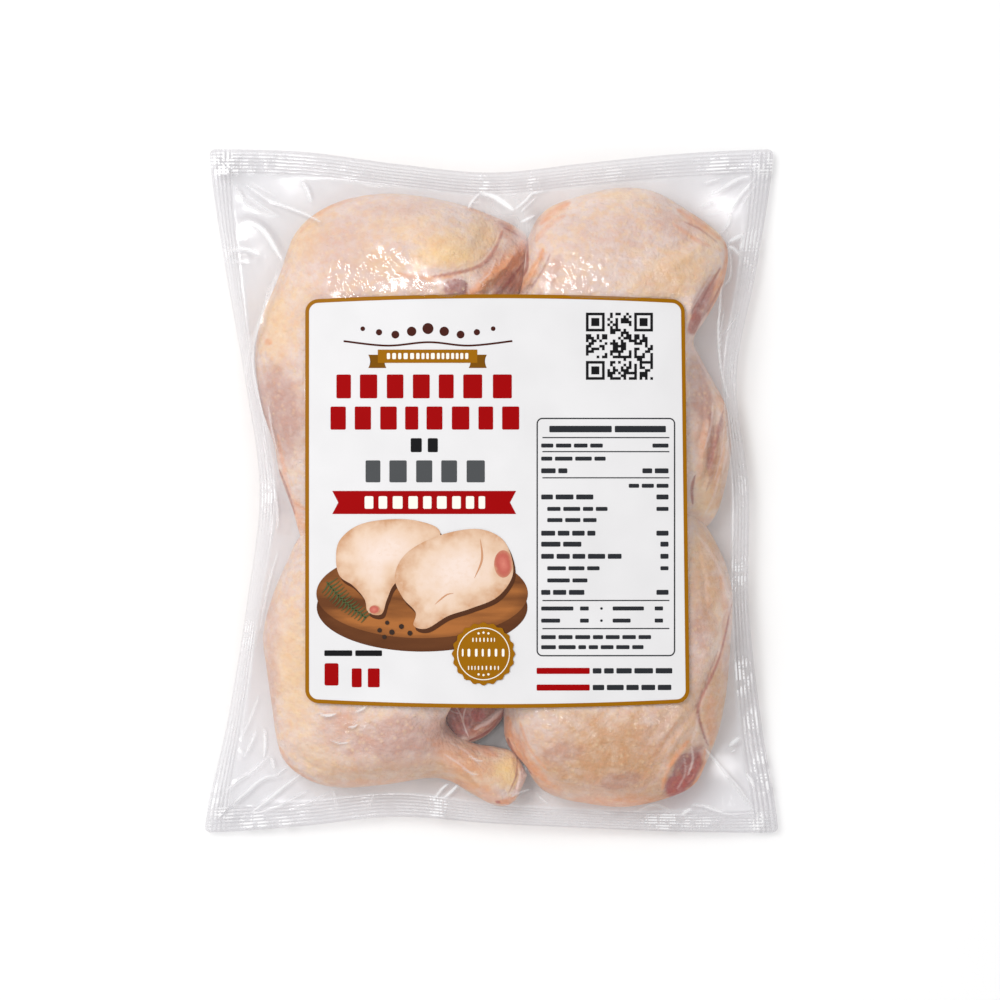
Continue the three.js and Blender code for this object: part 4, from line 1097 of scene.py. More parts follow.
def skin_material(colours):
    """Raw skin and meat: pale pink skin with mauve-grey clouds and small yellow flecks,
    blended by each point's shares towards yellow fat, duller yellow-brown skin that also paints
    shade on the lower and right sides, mauve over dark meat, rust-coloured edges that are partly
    painted shade on the bottom rims, cut meat and pale gristle. Cut meat is streaked. Pores and a fine
    grain are bump."""
    n = Nodes("raw skin")
    clouds = n.span(n.noise(58, 3), 0.38, 0.66)
    flecks = n.span(n.noise(235, 2.5), 0.47, 0.62)
    greys = n.span(n.noise(130, 3, n.place(turn=0.7)), 0.5, 0.66)
    grain = n.span(n.noise(760, 3), 0.3, 0.7)
    tone = n.mix(n.math("MULTIPLY", clouds, 0.55), colours["skin"], colours["skin_deep"])
    wrinkles = n.noise(240, 2.5, n.place(scale=(0.6, 1.0, 1.0), turn=0.75))
    tone = n.mix(n.math("MULTIPLY", greys, 0.45), tone, colours["skin_deep"])
    tone = n.mix(n.math("MULTIPLY", flecks, 0.5), tone, colours["fleck"])
    mottled = n.span(n.math("ADD", flecks, grain), 0, 2, 0.78, 1.12)
    # The tan look carries painted shade on the lower and right sides, and rust on the bottom rims.
    for look in SKIN_LOOKS:
        worn = n.math("MULTIPLY", n.value(look), mottled, clamp=True)
        tone = n.mix(worn, tone, colours[look])
    streaks = n.span(n.noise(330, 4, n.place(scale=(0.35, 1.0, 1.0), turn=0.9)), 0.35, 0.68)
    muscle = n.mix(n.math("MULTIPLY", streaks, 0.55), colours["meat"], colours["meat_light"])
    tone = n.mix(n.value("meat"), tone, muscle)
    reddest = n.math("MULTIPLY", n.value("raw_red"), n.span(streaks, 0, 1, 1.0, 0.7))
    tone = n.mix(reddest, tone, colours["raw_red"])
    tone = n.mix(n.value("pale"), tone, colours["pale"])
    tone = n.mix(n.span(wrinkles, 0.5, 0.7, 0.0, 0.17), tone, colours["rust"])
    tone = n.mix(n.span(wrinkles, 0.5, 0.32, 0.0, 0.13), tone, (1.0, 0.94, 0.86))
    tone = n.mix(n.math("MULTIPLY", grain, 0.1), tone, colours["skin_deep"])
    bumps = n.noise(600, 1.5)
    tone = n.mix(n.span(bumps, 0.5, 0.3, 0.0, 0.12), tone, colours["rust"])
    cells = n.add("ShaderNodeTexVoronoi", {"Vector": n.place(), "Scale": 290.0})
    pore = n.span(cells.outputs["Distance"], 0.05, 0.4, 1.0, 0.0)
    bare = n.math("SUBTRACT", 1.0, n.value("meat"), clamp=True)
    raised = n.span(n.noise(70, 2), 0.35, 0.65, 0.25, 1.0)
    pores = n.math("MULTIPLY", n.math("MULTIPLY", pore, bare), raised)
    tone = n.mix(n.math("MULTIPLY", pores, 0.5), tone, colours["pore"])
    normal = n.bump(pores, 0.0005, 0.4)
    normal = n.bump(bumps, 0.0011, 0.5, normal)
    normal = n.bump(n.noise(190, 3), 0.0016, 0.6, normal)
    normal = n.bump(wrinkles, 0.0013, 0.45, normal)
    shader = n.add("ShaderNodeBsdfPrincipled", {
        "Base Color": tone, "Roughness": 0.48, "Specular IOR Level": 0.3, "Subsurface Weight": 0.05,
        "Subsurface Radius": (1.0, 0.45, 0.28), "Subsurface Scale": 0.004, "Normal": normal,
    })
    return n.finish(shader)


def film_material(name, colours, haze, shaded):
    """Clear film: see-through with a grey tint, darkened to the shaded colour by painted shade
    in its folds, rib troughs and gaps, and milky white on crests and in patches, partly milky
    film and partly painted highlight and painted light. Its shine is small from above and grows
    with the slant. Crinkles are bump, strongest where the film clings."""
    n = Nodes(name)
    crinkle, milk, shade = n.value("crinkle"), n.value("milk"), n.value("shade")
    cells = n.noise(430, 1.5, n.place(scale=(1.3, 0.75, 1.0), turn=0.2))
    ridged = n.math("ABSOLUTE", n.math("SUBTRACT", cells, 0.5))
    normal = n.bump(ridged, 0.0014, n.math("MULTIPLY", crinkle, 0.35))
    normal = n.bump(n.noise(60, 2), 0.0009, 0.3, normal)
    normal = n.bump(n.noise(170, 2), 0.0004, 0.35, normal)
    slant = n.add("ShaderNodeLayerWeight", {"Blend": 0.78, "Normal": normal}).outputs["Facing"]
    edge = n.add("ShaderNodeLayerWeight", {"Blend": 0.5, "Normal": normal}).outputs["Facing"]
    glancing = n.math("MULTIPLY", n.math("POWER", edge, 5.0), 0.4)
    shine = n.math("ADD", n.math("ADD", n.math("MULTIPLY", slant, 0.12), glancing), 0.04, clamp=True)
    # Painted shade: the see-through tint darkens to the shaded colour by the shade marks.
    tint = n.mix(shade, colours["film"], shaded)
    clear = n.add("ShaderNodeBsdfTransparent", {"Color": tint})
    dull = n.span(crinkle, 0.1, 0.6, 0.25, 0.07)
    gloss = n.add("ShaderNodeBsdfGlossy", {"Color": (1.0, 1.0, 1.0), "Roughness": dull, "Normal": normal})
    white = n.add("ShaderNodeBsdfDiffuse", {"Color": colours["haze"]})
    # The white share: the haze, plus milky film on crests, painted highlights and glints, and patches of
    # painted light.
    share = n.math("ADD", n.math("MULTIPLY", milk, 0.8), haze, clamp=True)
    body = n.add("ShaderNodeMixShader", {0: share, 1: clear.outputs[0], 2: white.outputs[0]})
    return n.finish(n.add("ShaderNodeMixShader", {0: shine, 1: body.outputs[0], 2: gloss.outputs[0]}))


def paper_material(name, colour, roughness=0.55):
    """Coated paper or ink on it: one colour with faint clouds of a slightly darker one."""
    n = Nodes(name)
    tone = n.mix(n.span(n.noise(35, 2), 0.3, 0.7), colour, tuple(v * 0.95 for v in colour))
    return n.printed(tone, roughness)


def board_material(colour, dark):
    """Printed wood: two browns in long streaks along x, darker towards the rim."""
    n = Nodes("board print")
    streaks = n.noise(110, 5, n.place(scale=(0.1, 1.0, 1.0), turn=0.12))
    tone = n.mix(n.span(streaks, 0.36, 0.64), colour, dark)
    return n.printed(n.mix(n.span(n.value("reach"), 0.9, 1.0, 0.0, 0.5), tone, dark))


def pictured_material(name, light, middle, dark):
    """A printed picture of something round: light within, its middle
    colour further out and dark at its edge, with a fine mottling."""
    n = Nodes(name)
    light, middle, dark = linear(*light), linear(*middle), linear(*dark)
    reach = n.math("ADD", n.value("reach"), n.span(n.noise(120, 3), 0.3, 0.7, -0.16, 0.16))
    tone = n.mix(n.span(reach, 0.15, 0.8), light, middle)
    tone = n.mix(n.math("POWER", n.span(reach, 0.62, 1.06), 1.6), tone, dark)
    return n.printed(n.mix(n.span(n.noise(420, 3), 0.5, 0.7, 0.0, 0.35), tone, middle))


def floor_material(colour):
    """White matt table with the slightest unevenness."""
    n = Nodes("white table")
    tone = n.mix(n.noise(6, 2), colour, tuple(v * 0.995 for v in colour))
    inputs = {"Base Color": tone, "Roughness": 0.7, "Specular IOR Level": 0.2}
    return n.finish(n.add("ShaderNodeBsdfPrincipled", inputs))


def label_half_width(along):
    """Half the label's width, less what the round corners take, at a distance along it from its middle."""
    into_corner = np.maximum(0, np.abs(along) - (LABEL_LENGTH / 2 - LABEL_CORNER))
    return LABEL_WIDTH / 2 - LABEL_CORNER + np.sqrt(np.maximum(0, LABEL_CORNER**2 - into_corner**2))


def label_bent(across, along):
    """Where a point of the straight label lies once its right
    side flares downwards and its two ends bow outwards."""
    side, end = across / (LABEL_WIDTH / 2), along / (LABEL_LENGTH / 2)
    flare = LABEL_RIGHT_FLARE * (1 + side) * -end / 2
    return LABEL_X + across + flare, LABEL_Y + along + LABEL_END_BOW * end * (1 - side**2)


def label_ring(inset):
    """A closed outline an even inset inside the label's edge: four corner
    arcs about one set of middles, and the straight stretches between them."""
    middle_x, middle_y = LABEL_WIDTH / 2 - LABEL_CORNER, LABEL_LENGTH / 2 - LABEL_CORNER
    arcs = []
    for k, (side, end) in enumerate(((1, 1), (-1, 1), (-1, -1), (1, -1))):
        angle = (k + np.linspace(0, 1, RING_CORNER_POINTS)) * np.pi / 2
        arcs.append(np.array([side * middle_x, end * middle_y])
                    + (LABEL_CORNER - inset) * np.stack([np.cos(angle), np.sin(angle)], -1))
    parts = []
    for arc, after in zip(arcs, [*arcs[1:], arcs[0]]):
        parts += [arc, np.linspace(arc[-1], after[0], RING_SIDE_POINTS)[1:-1]]
    points = np.concatenate([*parts, arcs[0][:1]])
    return label_bent(points[:, 0], points[:, 1])


def label_rows():
    """Places along the label, close together on its round corners."""
    start = LABEL_LENGTH / 2 - LABEL_CORNER
    bend = start + LABEL_CORNER * np.sin(np.linspace(0, np.pi / 2, CORNER_STEPS + 1)[1:])
    return np.concatenate([-bend[::-1], np.linspace(-start, start, LABEL_ROWS), bend])


def thin_slab(name, x, y, lift, thickness):
    """A closed thin sheet over a grid of plan points: its top lies
    lift over the label, and sides join it to its underside."""
    rows, columns = x.shape
    top = label_surface(x, y) + lift
    upper = np.stack([x, y, top], -1).reshape(-1, 3)
    lower = np.stack([x, y, top - thickness], -1).reshape(-1, 3)
    count = rows * columns
    number = np.arange(count).reshape(rows, columns)
    ring = np.concatenate([number[0, :-1], number[:-1, -1], number[-1, :0:-1], number[:0:-1, 0]])
    after = np.roll(ring, -1)
    sides = np.stack([ring, ring + count, after + count, after], -1)
    top_faces = grid_faces(rows, columns)
    faces = np.concatenate([top_faces, top_faces[:, ::-1] + count, sides])
    vertices = np.concatenate([upper, lower])
    return mesh_object(name, vertices, [outward(vertices, faces)])


class Print:
    """One ink of the print: patches that lie on the label, gathered and made into one mesh."""

    def __init__(self, name, lift):
        self.name, self.lift = name, lift
        self.vertices, self.faces, self.reaches, self.count = [], [], [], 0

    def patch(self, x, y, reach=0.0):
        """A grid of plan points on the label, with how far out from its middle each one is."""
        rows, columns = x.shape
        z = label_surface(x, y) + self.lift
        faces = grid_faces(rows, columns, first=self.count)
        middle = rows // 2, columns // 2
        (x_up, x_along), (y_up, y_along) = ([step[middle] for step in np.gradient(v)] for v in (x, y))
        if x_along * y_up - y_along * x_up < 0:
            faces = faces[:, ::-1]
        self.vertices.append(np.stack([x, y, z], -1).reshape(-1, 3))
        self.faces.append(faces)
        self.reaches.append(np.broadcast_to(reach, x.shape).ravel())
        self.count += rows * columns

    def block(self, x, y, width, height, corner=0.3, lean=0.0):
        """A rectangle with its corners cut round: its half
        width shrinks over the corner as a circle does."""
        across = max(2, int(width / 4) + 2)
        edge = np.sin(np.linspace(0, np.pi / 2, 4)[1:])
        start = height / 2 - corner
        inner = np.linspace(-start, start, max(2, int(height / 4) + 2))
        along = np.concatenate([-(start + corner * edge)[::-1], inner, start + corner * edge])
        into = np.maximum(0, np.abs(along) - start)
        half = width / 2 - corner + np.sqrt(np.maximum(0, corner**2 - into**2))
        side, rows = np.meshgrid(np.linspace(-1, 1, across), along)
        self.patch(x + half[:, None] * side + lean * rows, y + rows)

    def words(self, x, y, width, height, seed, gap=1.4, letters=(4.0, 9.0)):
        """A line of small print as bars, one for each word,
        of uneven seeded lengths that fill the width."""
        rng = np.random.default_rng(seed)
        bars = []
        left = width
        while left > letters[0]:
            bar = min(left, rng.uniform(*letters))
            bars.append(bar)
            left -= bar + gap
        stretch = (width - gap * (len(bars) - 1)) / sum(bars)
        at = x
        for bar in bars:
            self.block(at + bar * stretch / 2, y, bar * stretch, height, corner=min(0.5, height / 3))
            at += bar * stretch + gap

    def letters(self, x, y, width, height, count, seed, fill=0.64):
        """A line of large print as upright blocks, one for each letter, of uneven seeded widths."""
        rng = np.random.default_rng(seed)
        shares = rng.uniform(0.75, 1.2, count)
        shares *= width / shares.sum()
        at = x - width / 2
        for share in shares:
            self.block(at + share / 2, y, share * fill, height, corner=min(0.7, height / 6))
            at += share

    def disc(self, x, y, radius, lobes=0, depth=0.0, inner=0.0, squash=1.0):
        """A disc or ring, its edge waved by a cosine where it has lobes."""
        rings = np.linspace(inner, 1, max(3, int(radius / 3) + 2))
        angle, reach = np.meshgrid(np.linspace(0, 2 * np.pi, 97), rings)
        edge = radius * (1 + depth * np.cos(lobes * angle))
        self.patch(x + reach * edge * np.cos(angle), y + squash * reach * edge * np.sin(angle), reach)

    def shape(self, outline, middle):
        """A smooth closed outline filled from a middle point that sees all of it."""
        along = (1 + np.linspace(0, 1, 121) * len(outline)) / (len(outline) + 2)
        ring = smooth_line([*outline[-1:], *outline, *outline[:2]], along)
        reach = np.linspace(0.002, 1, 17)[:, None]
        x, y = (middle[k] + reach * (ring[:, k] - middle[k]) for k in (0, 1))
        self.patch(x, y, reach)

    def stroke(self, points, width):
        """A band along a smooth curve, of one width or of a width for each of its points."""
        path = even_path(points, np.linspace(0, 1, STROKE_POINTS))
        ahead = np.gradient(path, axis=0)
        ahead /= np.linalg.norm(ahead, axis=1, keepdims=True)
        side = np.stack([-ahead[:, 1], ahead[:, 0]], -1)
        offset = np.array([-1, 1])[None, :] * np.broadcast_to(np.asarray(width), STROKE_POINTS)[:, None] / 2
        self.patch(path[:, :1] + side[:, :1] * offset, path[:, 1:] + side[:, 1:] * offset)

    def ribbon(self, x, y, width, height, notch):
        """A straight band whose two ends are cut to a swallow
        tail: each end moves in by the notch at mid-height."""
        side, level = np.meshgrid(np.linspace(-1, 1, 41), np.linspace(-1, 1, 9))
        tail = notch * (1 - np.abs(level)) * np.abs(side) ** 9
        self.patch(x + side * (width / 2 - tail), y + level * height / 2)

    def made(self, material):
        """The finished piece, with each point's reach for its material."""
        piece = mesh_object(self.name, np.concatenate(self.vertices), self.faces)
        point_values(piece, "reach", np.concatenate(self.reaches))
        piece.data.materials.append(material)
        settle(piece, "print")


def length_property(name, description, metres):
    """A length that can be changed."""
    return bpy.props.FloatProperty(
        name=name, description=description, default=metres, min=0, unit="LENGTH", precision=5)


class PackSizes(bpy.types.PropertyGroup):
    """Sizes that can be changed without changing the bag's outline."""

    film_haze: bpy.props.FloatProperty(
        name="Film haze", description="How milky each layer of film is", default=0.02, min=0, max=0.5,
        subtype="FACTOR")
    border_width: length_property("Border width", "Width of the label's gold border", 2.0 * MM)
    label_thickness: length_property("Label thickness", "How thick the backed label is", 0.35 * MM)
    print_lift: length_property("Print lift", "Height of one layer of print over the next", 0.07 * MM)
    camera_height: length_property("Camera height", "How far above the table the camera hangs", 9.0)
    view_width: length_property("View width", "Width of the table that the camera sees", 0.53)


def colour_property(name, description, shown):
    """A colour that can be changed, from the values it shows on screen."""
    return bpy.props.FloatVectorProperty(
        name=name, description=description, default=linear(*shown), size=3, min=0, max=1, subtype="COLOR")


class PackColours(bpy.types.PropertyGroup):
    """Colours of the meat, the film and the print."""

    skin: colour_property("Skin", "Thin pale skin", (230, 207, 196))
    skin_deep: colour_property("Deep skin", "Skin in broad mauve-grey clouds", (216, 190, 180))
    fat: colour_property("Fat", "Skin over yellow fat", (238, 200, 150))
    fleck: colour_property("Fleck", "Small yellow flecks in the skin", (240, 204, 158))
    # Tan: duller yellow-brown skin, also used as painted shade on the lower and right sides.
    tan: colour_property("Tan", "Duller yellow-brown skin", (200, 148, 97))
    blush: colour_property("Blush", "Thin skin over dark meat", (209, 169, 153))
    plum: colour_property("Plum", "Purple-grey membrane over dark meat", (150, 81, 80))
    yolk: colour_property("Yolk", "The yellow skin of the ankle", (250, 210, 130))
    # Rust along the lower quarters' bottom rims is partly painted shade.
    rust: colour_property("Rust", "Orange edges and folds of skin", (228, 146, 88))
    meat: colour_property("Meat", "Cut meat", (144, 44, 32))
    meat_light: colour_property("Light meat", "Strands in the cut meat", (182, 94, 76))
    raw_red: colour_property("Red meat", "The reddest cut meat", (170, 38, 22))
    pale: colour_property("Gristle", "Pale gristle at a bone end", (236, 212, 204))
    pore: colour_property("Pore", "The raised tip of each pore", (240, 208, 164))
    film: colour_property("Film", "What passes through the film", (253, 253, 254))
    # Painted shade: what the film passes where its shade marks lie, in folds, rib troughs and crease lees.
    film_shade: colour_property("Film shade", "What passes through the film in its folds", (217, 214, 216))
    # Painted shade: what the back film passes in the gaps between the quarters.
    film_deep: colour_property("Deep film", "What the back film passes between quarters", (132, 92, 68))
    haze: colour_property("Haze", "The film's milkiness", (248, 247, 248))
    paper: colour_property("Paper", "The label's coated paper", (229, 228, 229))
    gold: colour_property("Gold ink", "Border, ribbon and badge", (156, 102, 8))
    gold_dark: colour_property("Dark gold ink", "The folded ends of the gold ribbon", (122, 78, 10))
    red: colour_property("Red ink", "Title, ribbon and weight", (158, 1, 4))
    black: colour_property("Black ink", "Small print and the square code", (24, 24, 26))
    grey: colour_property("Grey ink", "The grey line of the title", (78, 80, 82))
    white: colour_property("White print", "Bars on the ribbons and the badge", (246, 242, 232))
    board: colour_property("Board", "The printed wooden board", (170, 106, 56))
    board_dark: colour_property("Board side", "The board's side and grain", (104, 62, 36))
    leaf: colour_property("Leaf", "The printed sprig", (84, 92, 58))
    table: colour_property("Table", "The white table", (246, 246, 246))


def colour(name):
    """One of the scene's colours as three plain numbers."""
    return tuple(getattr(bpy.context.scene.pack_colours, name))


def all_colours():
    """All of the scene's colours by name."""
    return {name: colour(name) for name in PackColours.__annotations__}


class PACK_OT_quarters(bpy.types.Operator):
    """Makes the leg quarters, each a body between two rails
    with its folds, cut faces and patches of colour"""

    bl_idname = "pack.quarters"
    bl_label = "Leg quarters"

    def execute(self, context):
        shapes = pack_shapes()[0]
        material = skin_material(all_colours())
        for name, (sections, ends) in shapes.items():
            piece, vertices = closed_body("quarter_" + name, sections, ends)
            above = smooth_step(*UNDERSIDE_FADE, vertices[:, 2])
            for look, share in looks_of(QUARTERS[name], vertices[:, 0], vertices[:, 1]).items():
                point_values(piece, look, share * above)
            piece.data.materials.append(material)
            settle(piece, "cut_meat" if name == "inner_cut" else "skin", "bag")
        return {"FINISHED"}


class PACK_OT_film(bpy.types.Operator):
    """Makes the upper and the back film: stretched skins
    over and under the meat, joined flat in a ribbed seal"""

    bl_idname = "pack.film"
    bl_label = "Clear film"

    def sheet(self, name, film, faces, material):
        """One piece of film, from those of its grid's points that its faces use."""
        used, numbers = np.unique(faces, return_inverse=True)
        points = np.stack([film["x"], film["y"], film["z"]], -1).reshape(-1, 3)[used]
        piece = mesh_object(name, points, [numbers.reshape(faces.shape)])
        for mark in FILM_MARKS:
            point_values(piece, mark, film[mark].ravel()[used])
        piece.data.materials.append(material)
        settle(piece, "film", "bag")

    def execute(self, context):
        _, upper, back = pack_shapes()
        colours, haze = all_colours(), context.scene.pack_sizes.film_haze
        material = film_material("clear film", colours, haze, colours["film_shade"])
        # The back film's shade marks take the painted gap shade colour.
        deep = film_material("clear back film", colours, haze, colours["film_deep"])
        rows, columns = upper["x"].shape
        faces = grid_faces(rows, columns)
        on_seal = (upper["inset"].ravel()[faces] < 0.999).any(axis=1)
        beyond = outside_label(upper["x"] * UNDER_LABEL, upper["y"] * UNDER_LABEL)
        under = (beyond.ravel()[faces] == 0).all(axis=1)
        self.sheet("film_seal", upper, faces[on_seal], material)
        self.sheet("film_upper", upper, faces[~on_seal & ~under], material)
        rows, columns = back["x"].shape
        self.sheet("film_back", back, grid_faces(rows, columns)[:, ::-1], deep)
        share = np.linspace(-UNDER_SHEET_SHARE, UNDER_SHEET_SHARE, UNDER_SHEET_LINES)
        x, y = np.meshgrid(share * LABEL_WIDTH / 2 + LABEL_X, share * LABEL_LENGTH / 2 + LABEL_Y)
        flat = {"x": x, "y": y, "z": label_crown(x, y) - UNDER_SHEET_GAP}
        flat.update({mark: 0 * x for mark in FILM_MARKS})
        self.sheet("film_under_label", flat, grid_faces(UNDER_SHEET_LINES, UNDER_SHEET_LINES), material)
        return {"FINISHED"}


class PACK_OT_label(bpy.types.Operator):
    """Makes the label's sheet and its gold border"""

    bl_idname = "pack.label"
    bl_label = "Label sheet"

    def execute(self, context):
        sizes = context.scene.pack_sizes
        side, along = np.meshgrid(np.linspace(-1, 1, LABEL_COLUMNS), label_rows())
        x, y = label_bent(side * label_half_width(along), along)
        sheet = thin_slab("label_sheet", x, y, 0.0, sizes.label_thickness / MM)
        sheet.data.materials.append(paper_material("label paper", colour("paper")))
        settle(sheet, "label", "label")
        border = Print("label_border", sizes.print_lift / MM)
        rings = [label_ring(inset) for inset in np.linspace(-0.04, sizes.border_width / MM, 4)]
        border.patch(np.array([ring[0] for ring in rings]), np.array([ring[1] for ring in rings]))
        border.made(paper_material("gold ink", colour("gold"), roughness=0.35))
        return {"FINISHED"}


class PACK_OT_print(bpy.types.Operator):
    """Makes the label's print as fields of colour and plain
    shapes: bars for words, ribbons, a badge and a table"""

    bl_idname = "pack.print"
    bl_label = "Label print"

    def execute(self, context):
        lift = context.scene.pack_sizes.print_lift / MM
        self.heading(lift)
        self.code_square(lift)
        self.table(lift)
        self.picture(lift)
        self.badge(lift)
        return {"FINISHED"}

    def heading(self, lift):
        """Brown ornament, gold ribbon, two red lines, two dark lines, the red ribbon and the weight."""
        brown = Print("print_ornament", lift)
        for k in range(-4, 5):
            brown.disc(-33.5 + 8.6 * k, 84 + 1.6 * math.cos(1.5 * k), 2.9 - 0.42 * abs(k))
        brown.stroke([(-78, 79), (-55, 76.6), (-33, 78.4), (-12, 76.6), (11, 79)], 1.0)
        brown.made(paper_material("brown ink", linear(70, 32, 26)))

        tails = Print("print_gold_tails", lift)
        for side in (-1, 1):
            tails.ribbon(-33.7 + side * 26.5, 68.3, 9.5, 7, 1.6)
        tails.made(paper_material("dark gold ink", colour("gold_dark")))
        gold = Print("print_gold_ribbon", 2 * lift)
        gold.block(-33.7, 71, 52.5, 7, 0.2)
        gold.made(paper_material("gold ribbon ink", colour("gold")))

        red = Print("print_red", lift)
        red.letters(-35.2, 55.1, 97.5, 12.6, 7, 61)
        red.letters(-35, 38.4, 104.4, 12.2, 8, 62)
        red.ribbon(-35.5, -6.1, 97, 12.2, 3.2)
        red.block(-84.4, -96.8, 7.4, 11.8, 0.9)
        red.letters(-66.2, -98.6, 18, 10, 2, 63)
        red.words(23.8, -94.9, 28, 3.2, 64, gap=0.5, letters=(26, 30))
        red.words(23.8, -103.7, 28, 3.2, 65, gap=0.5, letters=(26, 30))
        red.made(paper_material("red ink", colour("red")))

        dark = Print("print_dark_title", lift)
        dark.letters(-35.5, 24.1, 17.5, 7.4, 2, 66)
        dark.words(-88.2, -85.6, 30.5, 3.0, 67, gap=1.6, letters=(13, 15))
        dark.made(paper_material("black ink", colour("black")))
        grey = Print("print_grey_title", lift)
        grey.letters(-34.7, 10.3, 67.8, 11.6, 5, 68)
        grey.made(paper_material("grey ink", colour("grey")))

        white = Print("print_white", 3 * lift)
        white.letters(-35.3, -6.1, 66, 6.6, 9, 69, fill=0.62)
        white.letters(-33.7, 71.1, 44, 3.2, 16, 70, fill=0.62)
        white.made(paper_material("white print", colour("white")))

    def code_square(self, lift):
        """A square of small seeded cells with a framed square in three corners."""
        cells, size = 25, 35.4
        pitch = size / cells
        x0, y0 = 49.8, 94
        filled = np.random.default_rng(71).random((cells, cells)) < 0.5
        for row, column in ((0, 0), (0, cells - 8), (cells - 8, 0)):
            filled[row:row + 8, column:column + 8] = False
        code = Print("print_code", lift)
        for row in range(cells):
            runs = np.flatnonzero(np.diff(np.concatenate([[0], filled[row].astype(int), [0]])))
            for start, stop in zip(runs[::2], runs[1::2]):
                width = (stop - start) * pitch
                code.block(x0 + start * pitch + width / 2, y0 - (row + 0.5) * pitch, width, pitch, 0.05)
        for row, column in ((0, 0), (0, cells - 7), (cells - 7, 0)):
            mid_x, mid_y = x0 + (column + 3.5) * pitch, y0 - (row + 3.5) * pitch
            code.block(mid_x, mid_y, 3 * pitch, 3 * pitch, 0.1)
            for side in (-1, 1):
                code.block(mid_x + side * 3 * pitch, mid_y, pitch, 7 * pitch, 0.1)
                code.block(mid_x, mid_y + side * 3 * pitch, 5 * pitch, pitch, 0.1)
        code.made(paper_material("code ink", colour("black")))

    def table(self, lift):
        """The framed table: its outline and rules, and bars for words at both ends of each row."""
        ink = Print("print_table", lift)
        left, right, top, bottom, line = 24.1, 96.6, 38.2, -86.9, 0.7
        round_off = 2.8
        for side, x in ((-1, left), (1, right)):
            ink.block(x, (top + bottom) / 2, line, top - bottom - 2 * round_off, 0.1)
        for y in (top, bottom):
            ink.block((left + right) / 2, y, right - left - 2 * round_off, line, 0.1)
        quarter = np.linspace(0, np.pi / 2, 12)
        for side_x, x in ((-1, left + round_off), (1, right - round_off)):
            for side_y, y in ((-1, bottom + round_off), (1, top - round_off)):
                bend = round_off * np.stack([side_x * np.cos(quarter), side_y * np.sin(quarter)], -1)
                ink.stroke(bend + [x, y], line)
        for y in (28.1, 20.7, 6.9, -57.8, -72.6):
            ink.block((left + right) / 2, y, 67, 0.6, 0.1)
        ink.words(30.5, 32.6, 61.5, 3.4, 80, gap=1.6, letters=(26, 34))
        plain, bold, indent = 2.1, 2.6, 3.2
        rows = [
            (23.9, 0, 32.5, plain, 8.5), (17, 0, 34, plain, 0), (10.6, 0, 13.8, bold, 13.8),
            (2.7, 0, 0, plain, 21), (-3.2, 0, 27.5, bold, 6.4), (-9.5, indent, 31.8, plain, 6.4),
            (-15.4, indent, 26, plain, 0), (-22.3, 0, 28.6, bold, 6.4), (-28.1, 0, 21.2, bold, 4.3),
            (-34.5, 0, 42.4, bold, 4.3), (-40.8, indent, 27.6, plain, 4.3), (-47.2, indent, 21.2, plain, 0),
            (-53.5, 0, 22.8, bold, 6.4),
        ]
        for k, (y, step, width, height, end) in enumerate(rows):
            if width:
                ink.words(26.2 + step, y, width, height, 90 + k)
            if end:
                ink.words(93.4 - end, y, end, height, 110 + k, letters=(4, 14))
        for k, y in enumerate((-62, -68.4)):
            ink.words(26.2, y, 17 - 7 * k, plain, 130 + k, letters=(8, 18))
            ink.block(49, y, 4.6, plain, 0.4)
            ink.disc(58, y, 0.7)
            ink.words(63.9, y, 16.5 - 7 * k, plain, 134 + k, letters=(8, 18))
            ink.block(88.3, y, 4.4, plain, 0.4)
        ink.words(26.2, -77.1, 58, plain, 140)
        ink.words(26.2, -82.4, 54, plain, 141)
        ink.words(53.4, -94.9, 42, 2.8, 142)
        ink.words(53.4, -103.7, 41.5, 2.8, 143)
        ink.made(paper_material("table ink", linear(44, 46, 50)))

    def picture(self, lift):
        """An oval board with two plain leg shapes, a sprig and a few dark dots."""
        side = Print("print_board_side", lift)
        side.disc(-36.6, -61.4, 55.6, squash=0.42)
        side.made(board_material(colour("board_dark"), linear(84, 48, 28)))
        board = Print("print_board", 2 * lift)
        board.disc(-36.6, -54.2, 55.8, squash=0.42)
        board.made(board_material(colour("board"), colour("board_dark")))
        far_leg = [(-82, -36), (-80, -26), (-70, -18), (-54, -15), (-38, -16), (-27, -22), (-34, -38),
                   (-50, -48), (-55, -57), (-58, -65), (-65, -64), (-67, -57), (-73, -50), (-80, -45)]
        near_leg = [(10, -33), (11, -45), (3, -56), (-11, -62), (-23, -66), (-34, -72.5), (-41, -71),
                    (-40, -64), (-47, -56), (-51, -45), (-45, -33), (-29, -24), (-9, -20), (4, -24)]
        skin = pictured_material("leg print", (238, 218, 206), (228, 198, 172), (202, 154, 118))
        for number, (outline, middle) in enumerate(((far_leg, (-59, -33)), (near_leg, (-20, -42)))):
            shadow = Print(f"print_leg_shadow_{number}", (3 + 2 * number) * lift)
            shadow.shape([(x + 1.2, y - 2.2) for x, y in outline], (middle[0] + 1.2, middle[1] - 2.2))
            shadow.made(paper_material("leg shadow print", linear(84, 50, 32)))
            leg = Print(f"print_leg_{number}", (4 + 2 * number) * lift)
            leg.shape(outline, middle)
            leg.made(skin)
        cut = Print("print_leg_cuts", 7 * lift)
        cut.disc(6.2, -38.5, 4.8, squash=1.5)
        cut.disc(-61.6, -62.6, 2.8, squash=0.8)
        cut.made(pictured_material("cut print", (214, 128, 112), (186, 92, 80), (206, 150, 120)))
        folds = Print("print_leg_folds", 7 * lift)
        swell = np.sin(np.linspace(0.1, 3.0, STROKE_POINTS))
        folds.stroke([(-6, -25), (-5, -36), (-9, -46)], swell * 1.1)
        folds.stroke([(-30, -60), (-24, -55), (-20, -54)], swell * 0.8)
